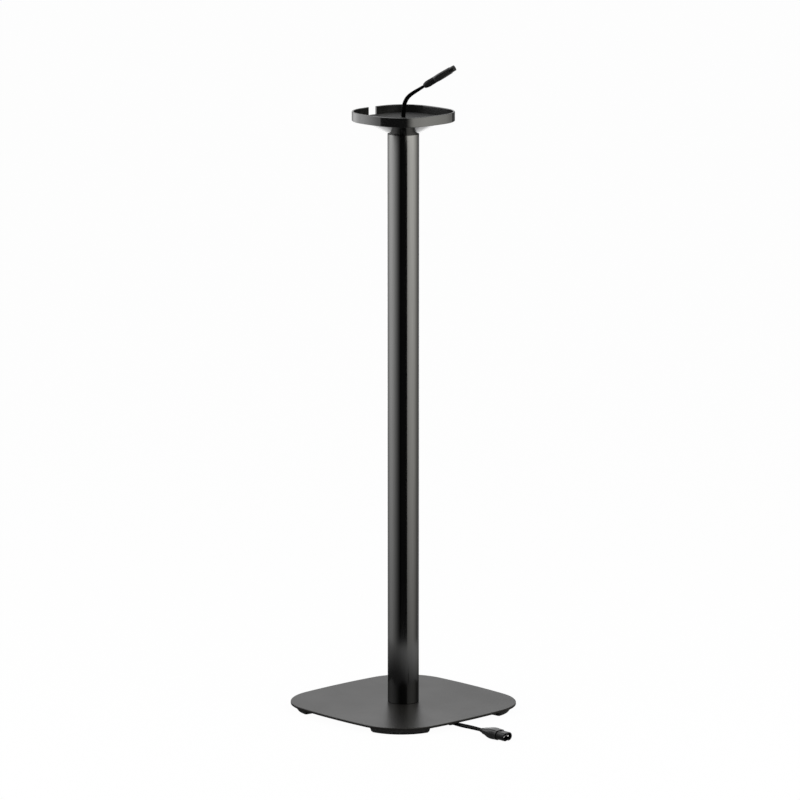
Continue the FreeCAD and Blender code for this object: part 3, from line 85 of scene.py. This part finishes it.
@dataclass(frozen=True)
class Finish:
    """A procedural material.

    Attributes:
        name: the material's name.
        slot: the material slot that it stands for; not used.
        color: linear base colour.
        roughness: mean roughness of the surface.
        swing: how far the roughness wanders either side of the mean.
        grain: the surface's texture.
        grain_size: width of one grain, in metres.
        relief: height of the grain, in metres.
        fleck: how much lighter the lightest grains are than the base colour.
        metallic: 1 for bare or anodised metal.
        specular: specular level, 0.5 for ordinary plastic and paint.
        edge_tint: how much of the light is reflected at a glancing view.
    """

    name: str
    slot: str
    color: tuple[float, float, float]
    roughness: float
    swing: float
    grain: Grain
    grain_size: float
    relief: float
    fleck: float = 0.25
    metallic: float = 0.0
    specular: float = 0.5
    edge_tint: float = 1.0

    def material(self) -> bpy.types.Material:
        """Build the material, or return it where an earlier piece has built it.

        Returns:
            The Blender material.
        """
        known = bpy.data.materials.get(self.name)
        if known is not None:
            return known
        made = bpy.data.materials.new(self.name)
        made.use_nodes = True
        made.diffuse_color = (*self.color, 1.0)
        tree = made.node_tree
        shader = tree.nodes["Principled BSDF"]
        shader.inputs["Metallic"].default_value = self.metallic
        shader.inputs["Specular IOR Level"].default_value = self.specular
        shader.inputs["Specular Tint"].default_value = (self.edge_tint, self.edge_tint, self.edge_tint, 1.0)
        grains = self._grains(tree)
        self._colour(tree, grains, shader)
        self._sheen_of_wear(tree, shader)
        self._relief(tree, grains, shader)
        return made

    def _grains(self, tree: bpy.types.NodeTree) -> bpy.types.Node:
        """The fine noise that colour and relief share.

        Args:
            tree: the material's node tree.

        Returns:
            The noise node.
        """
        stretch, detail = self.grain.value
        place = tree.nodes.new("ShaderNodeTexCoord")
        mapping = tree.nodes.new("ShaderNodeMapping")
        mapping.inputs["Scale"].default_value = stretch
        noise = tree.nodes.new("ShaderNodeTexNoise")
        noise.inputs["Scale"].default_value = 1.0 / self.grain_size
        noise.inputs["Detail"].default_value = detail
        tree.links.new(place.outputs["Object"], mapping.inputs["Vector"])
        tree.links.new(mapping.outputs["Vector"], noise.inputs["Vector"])
        return noise

    def _colour(self, tree: bpy.types.NodeTree, grains: bpy.types.Node, shader: bpy.types.Node) -> None:
        """Tint the base colour by the grains.

        Args:
            tree: the material's node tree.
            grains: the noise node.
            shader: the Principled shader.
        """
        ramp = tree.nodes.new("ShaderNodeValToRGB")
        ramp.color_ramp.elements[0].position = FLECK_FROM
        ramp.color_ramp.elements[0].color = (*[part * (1.0 - self.fleck) for part in self.color], 1.0)
        ramp.color_ramp.elements[1].position = FLECK_TO
        ramp.color_ramp.elements[1].color = (*[part * (1.0 + self.fleck) for part in self.color], 1.0)
        tree.links.new(grains.outputs["Fac"], ramp.inputs["Fac"])
        tree.links.new(ramp.outputs["Color"], shader.inputs["Base Color"])

    def _sheen_of_wear(self, tree: bpy.types.NodeTree, shader: bpy.types.Node) -> None:
        """Let the roughness wander in broad soft patches, as on a handled surface.

        Args:
            tree: the material's node tree.
            shader: the Principled shader.
        """
        place = tree.nodes.new("ShaderNodeTexCoord")
        patches = tree.nodes.new("ShaderNodeTexNoise")
        patches.inputs["Scale"].default_value = WEAR_SCALE
        patches.inputs["Detail"].default_value = WEAR_DETAIL
        spread = tree.nodes.new("ShaderNodeMapRange")
        spread.inputs["From Min"].default_value = WEAR_FROM
        spread.inputs["From Max"].default_value = WEAR_TO
        spread.inputs["To Min"].default_value = self.roughness - self.swing
        spread.inputs["To Max"].default_value = self.roughness + self.swing
        tree.links.new(place.outputs["Object"], patches.inputs["Vector"])
        tree.links.new(patches.outputs["Fac"], spread.inputs["Value"])
        tree.links.new(spread.outputs["Result"], shader.inputs["Roughness"])

    def _relief(self, tree: bpy.types.NodeTree, grains: bpy.types.Node, shader: bpy.types.Node) -> None:
        """Raise the grains as a fine bump.

        Args:
            tree: the material's node tree.
            grains: the noise node.
            shader: the Principled shader.
        """
        bump = tree.nodes.new("ShaderNodeBump")
        bump.inputs["Strength"].default_value = BUMP_STRENGTH
        bump.inputs["Distance"].default_value = self.relief
        tree.links.new(grains.outputs["Fac"], bump.inputs["Height"])
        tree.links.new(bump.outputs["Normal"], shader.inputs["Normal"])


PLATE_COAT = Finish("plate_powder_coat", "plate_coat", (0.0095, 0.009, 0.0082), 0.36, 0.02, Grain.POWDER,
                    0.0011, 0.000012, 0.2, specular=0.23)
COLUMN_ANODISED = Finish("column_black_anodised", "column_anodised", (0.12, 0.12, 0.118), 0.12, 0.01,
                         Grain.EXTRUDED, 0.0006, 0.000002, 0.05, metallic=1.0, edge_tint=0.45)
CAST_COAT = Finish("cast_black_coat", "cast_coat", (0.004, 0.004, 0.004), 0.13, 0.01, Grain.POWDER,
                   0.0009, 0.0000015, 0.2, specular=0.6)
FOOT_PLASTIC = Finish("foot_moulded_plastic", "foot_plastic", (0.02, 0.02, 0.02), 0.45, 0.05, Grain.MOULDED,
                      0.0007, 0.00002, specular=0.35)
PAD_RUBBER = Finish("foot_pad_rubber", "pad_rubber", (0.003, 0.003, 0.003), 0.8, 0.05, Grain.MOULDED,
                    0.0005, 0.00002, specular=0.2)
MAT_RUBBER = Finish("tray_mat_rubber", "mat_rubber", (0.008, 0.008, 0.0084), 0.62, 0.05, Grain.MOULDED,
                    0.0008, 0.00003, specular=0.3)
ZINC = Finish("zinc_plated_steel", "fastener_steel", (0.5, 0.5, 0.51), 0.34, 0.06, Grain.PLATED,
              0.0009, 0.000005, 0.12, metallic=1.0)
TRIM_PLASTIC = Finish("trim_moulded_plastic", "trim_plastic", (0.008, 0.008, 0.008), 0.45, 0.05,
                      Grain.MOULDED, 0.0006, 0.00001, specular=0.3)
LEAD_JACKET = Finish("twin_lead_jacket", "lead_jacket", (0.0015, 0.0015, 0.0016), 0.2, 0.03, Grain.MOULDED,
                     0.0006, 0.000001, specular=0.03)
CONNECTOR_JACKET = Finish("connector_soft_jacket", "connector_jacket", (0.012, 0.012, 0.012), 0.22, 0.03,
                          Grain.MOULDED, 0.0005, 0.000004, specular=0.3)
RELIEF_JACKET = Finish("strain_relief_jacket", "connector_jacket", (0.008, 0.008, 0.008), 0.3, 0.03,
                       Grain.MOULDED, 0.0005, 0.000004, specular=0.08)
CONNECTOR_INSERT = Finish("connector_hard_insert", "connector_insert", (0.005, 0.005, 0.005), 0.24, 0.04,
                          Grain.MOULDED, 0.0006, 0.000004, specular=0.25)
NICKEL = Finish("nickel_plated_contact", "contact_metal", (0.95, 0.94, 0.92), 0.45, 0.04, Grain.PLATED,
                0.0005, 0.000002, 0.05, metallic=0.3)


def dress(finish: Finish, *nodes: str) -> None:
    """Give CAD nodes a finish.

    Args:
        finish: the finish.
        nodes: names of the nodes.
    """
    for name in nodes:
        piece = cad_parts[name]
        piece.data.materials.clear()
        piece.data.materials.append(finish.material())
        LOG.info("%s: %s", name, finish.name)


def hand_over(piece: bpy.types.Object, finish: Finish) -> bpy.types.Object:
    """Finish a new piece and let it ride on the stand.

    Args:
        piece: the new object, in place.
        finish: its finish.

    Returns:
        The same object.
    """
    piece.data.materials.append(finish.material())
    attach(piece, BODY)
    LOG.info("%s: new piece, %s", piece.name, finish.name)
    return piece


# ---------------------------------------------------------------- the stand

@dataclass
class Base:
    """Steel plate on four moulded feet, with the fasteners under it."""

    corners: tuple[str, ...] = ("front_left", "front_right", "rear_left", "rear_right")

    def build(self) -> None:
        """Dress the plate, its feet and what holds them."""
        dress(PLATE_COAT, "base_plate")
        for corner in self.corners:
            dress(FOOT_PLASTIC, f"foot_{corner}")
            dress(PAD_RUBBER, f"foot_pad_{corner}")
        dress(ZINC, "foot_studs", "foot_nuts", "column_base_screws")
        dress(TRIM_PLASTIC, "base_bushing")


@dataclass
class Column:
    """Extruded tube."""

    def build(self) -> None:
        """Dress the tube."""
        dress(COLUMN_ANODISED, "column")


@dataclass
class Head:
    """Flared cone and the tray on it."""

    def build(self) -> None:
        """Dress the cone, the tray and what lies in it."""
        dress(CAST_COAT, "support_cone", "tray")
        dress(ZINC, "column_top_screws", "tray_screws")
        dress(MAT_RUBBER, "tray_pad")
        dress(TRIM_PLASTIC, "tray_grommet")


@dataclass
class TwinLead:
    """Flat twin lead: a captive stretch in the column and two free ones.

    Attributes:
        width: width of the flat flex, in metres.
        thickness: its thickness, in metres.
        groove: depth of the groove between its cores, in metres.
        groove_share: width of that groove, as a share of half the thickness.
        flat: how fast the outline crosses from one core to the other.
        outline_steps: points along a quarter of the outline.
        exit_height: height at which the upper stretch leaves the tray's grommet.
        top_heading: heading of the upper route, in degrees anticlockwise from +X.
        top_route: (reach, height) points of the upper route from its exit.
        top_length: length of the upper stretch; not used.
        top_tilts: turn of the section at each point of it, in degrees.
        under_heading: heading of the lower stretch's exit, in degrees.
        under_reach: how far that exit is from the column's axis.
        under_height: its height above the floor.
        bottom_route: points of the lower route from its exit.
        bottom_length: length of the lower stretch; not used.
        bottom_tilts: turn of the section at each point of it, in degrees.
    """

    width: float = 0.0058
    thickness: float = 0.0034
    groove: float = 0.0005
    groove_share: float = 0.28
    flat: float = 2.2
    outline_steps: int = 28
    exit_height: float = 0.8175
    top_heading: float = -56.2
    top_route: tuple[tuple[float, float], ...] = (
        (0.0, 0.0), (0.0002, 0.0078), (0.0014, 0.0192), (0.0069, 0.0287), (0.0187, 0.0366), (0.0292, 0.0431),
    )
    top_length: float = 0.0565
    top_tilts: tuple[float, ...] = (-77.0, -77.0, -70.0, -55.0, -35.0, -12.0)
    under_heading: float = -99.4
    under_reach: float = 0.1183
    under_height: float = 0.0048
    bottom_route: tuple[tuple[float, float, float], ...] = (
        (0.0, 0.0, 0.0), (-0.0019, -0.0154, 0.0005), (-0.0041, -0.0319, 0.0016), (-0.0065, -0.0482, 0.0030),
        (-0.0059, -0.0643, 0.0027),
    )
    bottom_length: float = 0.0648
    bottom_tilts: tuple[float, ...] = (10.0, 32.0, 40.0, 32.0, 12.0)

    def section(self) -> bpy.types.Object:
        """The lead's outline: two round cores side by side with a shallow groove between them.

        Returns:
            A closed curve for the leads to follow.
        """
        shape = bpy.data.curves.new("lead_section", "CURVE")
        shape.dimensions = "2D"
        shape.fill_mode = "NONE"
        steps = 4 * self.outline_steps
        half = self.thickness / 2
        shift = self.width / 2 - half
        spline = shape.splines.new("POLY")
        spline.points.add(steps - 1)
        for index in range(steps):
            angle = 2 * math.pi * index / steps
            across = shift * max(-1.0, min(1.0, self.flat * math.cos(angle))) + half * math.cos(angle)
            waist = self.groove * math.exp(-((across / (self.groove_share * half)) ** 2))
            along = half * math.sin(angle) - math.copysign(waist, math.sin(angle))
            spline.points[index].co = (across, along, 0.0, 1.0)
        spline.use_cyclic_u = True
        return bpy.data.objects.new("lead_section", shape)

    def curve(self, name: str, points: list[Vector], tilts: tuple[float, ...]) -> bpy.types.Object:
        """A smooth stretch of lead with the route's points as its control points.

        Args:
            name: the piece's name.
            points: the route, in metres.
            tilts: turn of the section at each point, in degrees.

        Returns:
            The curve object.
        """
        line = bpy.data.curves.new(name, "CURVE")
        line.dimensions = "3D"
        line.twist_mode = "Z_UP"
        line.bevel_mode = "OBJECT"
        line.bevel_object = self.section()
        line.use_fill_caps = True
        line.resolution_u = 24
        spline = line.splines.new("NURBS")
        spline.points.add(len(points) - 1)
        for control, point, tilt in zip(spline.points, points, tilts):
            control.co = (*point, 1.0)
            control.tilt = math.radians(tilt)
        spline.order_u = 3
        spline.use_endpoint_u = True
        piece = bpy.data.objects.new(name, line)
        bpy.context.scene.collection.objects.link(piece)
        return hand_over(piece, LEAD_JACKET)

    def top_points(self) -> list[Vector]:
        """The upper route's points in the stand's frame."""
        return [toward(self.top_heading, reach, self.exit_height + height)
                for reach, height in self.top_route]

    def bottom_points(self) -> list[Vector]:
        """The lower route's points in the stand's frame."""
        start = toward(self.under_heading, self.under_reach, self.under_height)
        return [start + Vector(step) for step in self.bottom_route]

    def build(self) -> None:
        dress(LEAD_JACKET, "column_lead")
        dress(TRIM_PLASTIC, "lead_clip_inner", "lead_clip_edge")
        points = self.top_points()
        upper = self.curve("upper_lead", points, self.top_tilts)
        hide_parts("top_lead")
        points = self.bottom_points()
        lower = self.curve("lower_lead", points, self.bottom_tilts)
        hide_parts("bottom_lead")


@dataclass
class Connectors:
    """The two-hole plug above the tray and the two-pin socket on the floor."""

    def build(self) -> None:
        """Dress both connectors."""
        dress(RELIEF_JACKET, "plug_strain_relief", "socket_strain_relief")
        dress(CONNECTOR_JACKET, "plug_body", "socket_body")
        dress(CONNECTOR_INSERT, "plug_nose", "socket_shroud")
        dress(NICKEL, "plug_contacts", "socket_pins")


# ---------------------------------------------------------------- the studio

@dataclass
class Card:
    """A curved upright card round the stand that shows only in reflections: lit, or a dark flag.

    Attributes:
        name: the card's name.
        radius: its distance from the column's axis, in metres.
        start: heading of its first end, in degrees anticlockwise from +X.
        sweep: how far it runs anticlockwise from there, in degrees.
        low: height of its lower edge, in metres.
        high: height of its upper edge, in metres.
        level: its brightness between its soft ends, along its upper edge.
        ends: brightness at its first and last end, as shares of the level.
        soft: how far each end's fade reaches in, as parts of the sweep.
        foot_share: brightness along its lower edge, as a share of the upper edge's.
        tint: colour of its light.
        steps: facets along the sweep.
    """

    name: str
    radius: float
    start: float
    sweep: float
    low: float
    high: float
    level: float
    ends: tuple[float, float] = (1.0, 1.0)
    soft: tuple[float, float] = (0.01, 0.01)
    foot_share: float = 1.0
    tint: tuple[float, float, float] = (1.0, 1.0, 1.0)
    steps: int = 48

    def build(self) -> None:
        """Make the card and its glow."""
        mesh = bpy.data.meshes.new(self.name)
        shape = bmesh.new()
        spread = shape.loops.layers.uv.new("spread")
        pairs = []
        for index in range(self.steps + 1):
            heading = self.start + self.sweep * index / self.steps
            foot = toward(heading, self.radius, self.low)
            head = toward(heading, self.radius, self.high)
            pairs.append((shape.verts.new(foot), shape.verts.new(head)))
        for index, ((near_low, near_high), (far_low, far_high)) in enumerate(zip(pairs, pairs[1:])):
            face = shape.faces.new((near_low, far_low, far_high, near_high))
            for loop, (along, up) in zip(face.loops, ((0, 0), (1, 0), (1, 1), (0, 1))):
                loop[spread].uv = ((index + along) / self.steps, up)
        shape.to_mesh(mesh)
        shape.free()
        mesh.materials.append(self._glow())
        only_reflected(mesh)

    def _glow(self) -> bpy.types.Material:
        """The card's brightness along its sweep and its height.

        Returns:
            The material.
        """
        made, tree, glow = glowing(self.name)
        spread = tree.nodes.new("ShaderNodeUVMap")
        spread.uv_map = "spread"
        split = tree.nodes.new("ShaderNodeSeparateXYZ")
        first, last = self.ends
        fade_in, fade_out = self.soft
        blend = tree.nodes.new("ShaderNodeMix")
        blend.data_type = "RGBA"
        lower, upper = [socket for socket in blend.inputs if socket.type == "RGBA"]
        for share, socket in ((self.foot_share, lower), (1.0, upper)):
            ramp = tree.nodes.new("ShaderNodeValToRGB")
            levels = ((0.0, first * share), (fade_in, share), (1.0 - fade_out, share), (1.0, last * share))
            set_levels(ramp, levels, self.tint)
            tree.links.new(split.outputs["X"], ramp.inputs["Fac"])
            tree.links.new(ramp.outputs["Color"], socket)
        tree.links.new(spread.outputs["UV"], split.inputs["Vector"])
        tree.links.new(split.outputs["Y"], blend.inputs[0])
        tree.links.new([socket for socket in blend.outputs if socket.type == "RGBA"][0], glow.inputs["Color"])
        glow.inputs["Strength"].default_value = self.level
        return made


@dataclass
class FloorFlag:
    """A dark disc on the floor that shows only in reflections and grows lighter outward.

    Attributes:
        radius: its radius, in metres.
        height: its height above the floor, in metres.
        centre: where its brightness starts to rise, in metres.
        reach: how far from there the brightness rises, in metres.
        dark: brightness at the centre.
        light: brightness at the end of the reach.
        rise: part of the reach that stays dark.
    """

    radius: float = 0.42
    height: float = 0.0004
    centre: tuple[float, float, float] = (-0.08, 0.016, 0.0)
    reach: float = 0.5
    dark: float = 0.05
    light: float = 0.8
    rise: float = 0.3

    def build(self) -> None:
        """Make the disc."""
        mesh = disc("floor_flag", self.radius, self.height)
        made, tree, glow = glowing("floor_flag")
        place = tree.nodes.new("ShaderNodeTexCoord")
        reach = tree.nodes.new("ShaderNodeVectorMath")
        reach.operation = "DISTANCE"
        reach.inputs[1].default_value = self.centre
        part = tree.nodes.new("ShaderNodeMapRange")
        part.inputs["From Max"].default_value = self.reach
        ramp = tree.nodes.new("ShaderNodeValToRGB")
        set_levels(ramp, ((self.rise, self.dark), (1.0, self.light)), (1.0, 1.0, 1.0))
        tree.links.new(place.outputs["Object"], reach.inputs[0])
        tree.links.new(reach.outputs["Value"], part.inputs["Value"])
        tree.links.new(part.outputs["Result"], ramp.inputs["Fac"])
        tree.links.new(ramp.outputs["Color"], glow.inputs["Color"])
        mesh.materials.append(made)
        only_reflected(mesh)


def set_levels(ramp: bpy.types.Node, levels: tuple[tuple[float, float], ...],
               tint: tuple[float, float, float]) -> None:
    """Turn brightness levels into a ramp's stops, with a smooth run between them.

    Args:
        ramp: the colour ramp node.
        levels: (part, brightness) pairs.
        tint: colour of the light.
    """
    ramp.color_ramp.interpolation = "EASE"
    stops = ramp.color_ramp.elements
    while len(stops) < len(levels):
        stops.new(0.5)
    for stop, (part, level) in zip(stops, levels):
        stop.position = part
        stop.color = (*[share * level for share in tint], 1.0)


def glowing(name: str) -> tuple[bpy.types.Material, bpy.types.NodeTree, bpy.types.Node]:
    """A material that only glows.

    Args:
        name: its name.

    Returns:
        The material, its node tree and its emission node.
    """
    made = bpy.data.materials.new(name)
    made.use_nodes = True
    tree = made.node_tree
    tree.nodes.clear()
    output = tree.nodes.new("ShaderNodeOutputMaterial")
    glow = tree.nodes.new("ShaderNodeEmission")
    tree.links.new(glow.outputs["Emission"], output.inputs["Surface"])
    return made, tree, glow


def disc(name: str, radius: float, height: float) -> bpy.types.Mesh:
    """A level disc round the column's axis.

    Args:
        name: the mesh's name.
        radius: its radius, in metres.
        height: its height, in metres.

    Returns:
        The mesh.
    """
    mesh = bpy.data.meshes.new(name)
    shape = bmesh.new()
    bmesh.ops.create_circle(shape, cap_ends=True, radius=radius, segments=96,
                            matrix=Matrix.Translation((0.0, 0.0, height)))
    shape.to_mesh(mesh)
    shape.free()
    return mesh


def only_reflected(mesh: bpy.types.Mesh) -> None:
    """Put a card in the studio that the camera and matte surfaces don't see.

    Args:
        mesh: the card's mesh, with its material.
    """
    card = bpy.data.objects.new(mesh.name, mesh)
    bpy.context.scene.collection.objects.link(card)
    card.visible_camera = False
    card.visible_shadow = False
    card.visible_diffuse = False
    LOG.info("%s: card seen in reflections", mesh.name)


@dataclass
class Softbox:
    """A soft lamp for the matte part of every surface.

    Attributes:
        name: the lamp's name.
        heading: where it stands, in degrees anticlockwise from +X.
        distance: how far it stands from the column's axis, in metres.
        height: height of its middle, in metres.
        size: its width and height, in metres.
        power: its power, in watts.
        aim_height: height of the point that it is aimed at, in metres.
    """

    name: str
    heading: float
    distance: float
    height: float
    size: tuple[float, float]
    power: float
    aim_height: float = 0.45

    def build(self) -> None:
        """Hang the lamp and aim it at the stand's middle."""
        light = bpy.data.lights.new(self.name, "AREA")
        light.shape = "RECTANGLE"
        light.size, light.size_y = self.size
        light.energy = self.power
        lamp = bpy.data.objects.new(self.name, light)
        lamp.location = toward(self.heading, self.distance, self.height)
        aim = Vector((0.0, 0.0, self.aim_height)) - lamp.location
        lamp.rotation_euler = aim.to_track_quat("-Z", "Y").to_euler()
        lamp.visible_glossy = False
        lamp.visible_camera = False
        bpy.context.scene.collection.objects.link(lamp)
        LOG.info("%s: soft lamp of %.0f W", self.name, self.power)


@dataclass
class Studio:
    """Camera, white surroundings, floor, cards and lamps.

    Attributes:
        azimuth: the camera's turn about the stand, in degrees.
        pitch: how far it looks down, in degrees.
        distance: its distance from the column's axis, in metres.
        height: its height above the floor, in metres.
        sideways: how far it stands to the right, in metres.
        focal_length: in millimetres.
        sensor: width of its sensor, in millimetres.
        floor_reach: radius of the floor, in metres.
        floor_white: how much of the floor that is seen is plain white.
        floor_matte: grey of the rest of it, which lights the stand from below.
        sky_light: strength of the light from all round on matte surfaces.
        pieces: cards and lamps.
    """

    azimuth: float = -43.157
    pitch: float = 10.8144
    distance: float = 7.4396
    height: float = 1.8517
    sideways: float = -0.0045
    focal_length: float = 251.32
    sensor: float = 36.0
    floor_reach: float = 20.0
    floor_white: float = 0.97
    floor_matte: float = 0.85
    sky_light: float = 0.55
    pieces: list[Card | FloorFlag | Softbox] = field(default_factory=lambda: [
        FloorFlag(),
        Card("left_reflector", 0.42, 80.0, 130.0, 0.0, 0.738, level=3.0, ends=(0.7, 0.0), soft=(0.15, 0.7),
             foot_share=0.3),
        Card("front_flag", 0.42, 210.0, 45.0, 0.0, 0.738, level=0.02),
        Card("right_reflector", 0.42, 255.0, 102.0, 0.0, 0.738, level=3.0, ends=(0.7, 0.3), soft=(0.3, 0.6),
             foot_share=0.25, tint=(1.0, 0.985, 0.94)),
        Card("front_flag_high", 0.27, 158.0, 78.0, 0.7601, 1.1, level=0.01),
        Card("front_flag_far", 0.42, 165.1, 70.8, 0.7381, 1.1, level=0.01),
        Card("left_back_flag", 0.42, 32.2, 37.7, 0.7381, 0.87, level=0.15),
        Card("right_back_flag", 0.42, -9.9, 42.0, 0.7381, 1.1, level=0.15),
        Card("back_reflector", 0.6, 34.0, 26.0, 0.3, 0.62, level=1.8),
        Card("top_reflector", 0.42, 100.0, 80.0, 1.1001, 1.6, level=3.5, ends=(0.3, 0.3), soft=(0.2, 0.2)),
        Card("left_reflector_high", 0.42, 70.0, 95.0, 0.7381, 1.1, level=3.5, ends=(0.1, 0.0),
             soft=(0.5, 0.4)),
        Card("right_reflector_high", 0.42, 236.0, 114.0, 0.7381, 1.1, level=3.5, ends=(0.0, 0.25),
             soft=(0.25, 0.5), tint=(1.0, 0.99, 0.93)),
        Softbox("left_softbox", 160.0, 1.8, 1.1, (1.2, 1.6), 24.0),
        Softbox("right_softbox", -70.0, 1.8, 1.1, (1.2, 1.6), 24.0),
    ])

    def build(self) -> None:
        """Set up the whole studio."""
        self._camera()
        self._surroundings()
        self._floor()
        for piece in self.pieces:
            piece.build()
        bpy.context.scene.view_settings.view_transform = "Standard"

    def _camera(self) -> None:
        """Place the camera at the photograph's viewpoint."""
        turn = math.radians(self.azimuth)
        right = Vector((math.cos(turn), math.sin(turn), 0.0))
        spot = Vector((math.sin(turn), -math.cos(turn), 0.0)) * self.distance + right * self.sideways
        lens = bpy.data.cameras.new("camera")
        lens.sensor_width = self.sensor
        lens.lens = self.focal_length
        camera = bpy.data.objects.new("camera", lens)
        camera.location = (spot.x, spot.y, self.height)
        camera.rotation_euler = (math.radians(90.0 - self.pitch), 0.0, turn)
        bpy.context.scene.collection.objects.link(camera)
        bpy.context.scene.camera = camera

    @staticmethod
    def _seen(tree: bpy.types.NodeTree) -> bpy.types.NodeSocket:
        """1 for camera, glossy and transmission rays, and 0 for the rays that light matte surfaces.

        Args:
            tree: the node tree to add it to.

        Returns:
            The socket that carries it.
        """
        path = tree.nodes.new("ShaderNodeLightPath")
        first = tree.nodes.new("ShaderNodeMath")
        first.operation = "MAXIMUM"
        second = tree.nodes.new("ShaderNodeMath")
        second.operation = "MAXIMUM"
        tree.links.new(path.outputs["Is Camera Ray"], first.inputs[0])
        tree.links.new(path.outputs["Is Glossy Ray"], first.inputs[1])
        tree.links.new(first.outputs[0], second.inputs[0])
        tree.links.new(path.outputs["Is Transmission Ray"], second.inputs[1])
        return second.outputs[0]

    def _surroundings(self) -> None:
        """A white background that lights matte surfaces only softly."""
        world = bpy.data.worlds.new("studio")
        bpy.context.scene.world = world
        world.use_nodes = True
        tree = world.node_tree
        tree.nodes.clear()
        output = tree.nodes.new("ShaderNodeOutputWorld")
        soft = tree.nodes.new("ShaderNodeBackground")
        soft.inputs["Color"].default_value = (1.0, 1.0, 1.0, 1.0)
        soft.inputs["Strength"].default_value = self.sky_light
        white = tree.nodes.new("ShaderNodeBackground")
        white.inputs["Color"].default_value = (1.0, 1.0, 1.0, 1.0)
        mix = tree.nodes.new("ShaderNodeMixShader")
        tree.links.new(self._seen(tree), mix.inputs[0])
        tree.links.new(soft.outputs[0], mix.inputs[1])
        tree.links.new(white.outputs[0], mix.inputs[2])
        tree.links.new(mix.outputs[0], output.inputs["Surface"])

    def _floor(self) -> None:
        """A plain white floor that keeps a faint shadow."""
        mesh = disc("floor", self.floor_reach, 0.0)
        floor = bpy.data.objects.new("floor", mesh)
        bpy.context.scene.collection.objects.link(floor)
        made, tree, white = glowing("floor_white")
        output = tree.nodes["Material Output"]
        matte = tree.nodes.new("ShaderNodeBsdfDiffuse")
        matte.inputs["Color"].default_value = (self.floor_matte, self.floor_matte, self.floor_matte, 1.0)
        share = tree.nodes.new("ShaderNodeMath")
        share.operation = "MULTIPLY"
        share.inputs[1].default_value = self.floor_white
        mix = tree.nodes.new("ShaderNodeMixShader")
        tree.links.new(self._seen(tree), share.inputs[0])
        tree.links.new(share.outputs[0], mix.inputs[0])
        tree.links.new(matte.outputs[0], mix.inputs[1])
        tree.links.new(white.outputs[0], mix.inputs[2])
        tree.links.new(mix.outputs[0], output.inputs["Surface"])
        mesh.materials.append(made)


def corners(box: tuple[Vector, Vector]) -> list[list[float]]:
    """A box's two corners as plain numbers.

    Args:
        box: the lowest and the highest corner.

    Returns:
        The same corners as lists.
    """
    return [list(corner) for corner in box]


def main() -> None:
    """Build the studio and the stand, from the floor up."""
    logging.basicConfig(level=logging.INFO, format="%(message)s")
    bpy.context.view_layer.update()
    for part in (Studio(), Base(), Column(), Head(), TwinLead(), Connectors()):
        part.build()


if __name__ == "__main__":
    main()
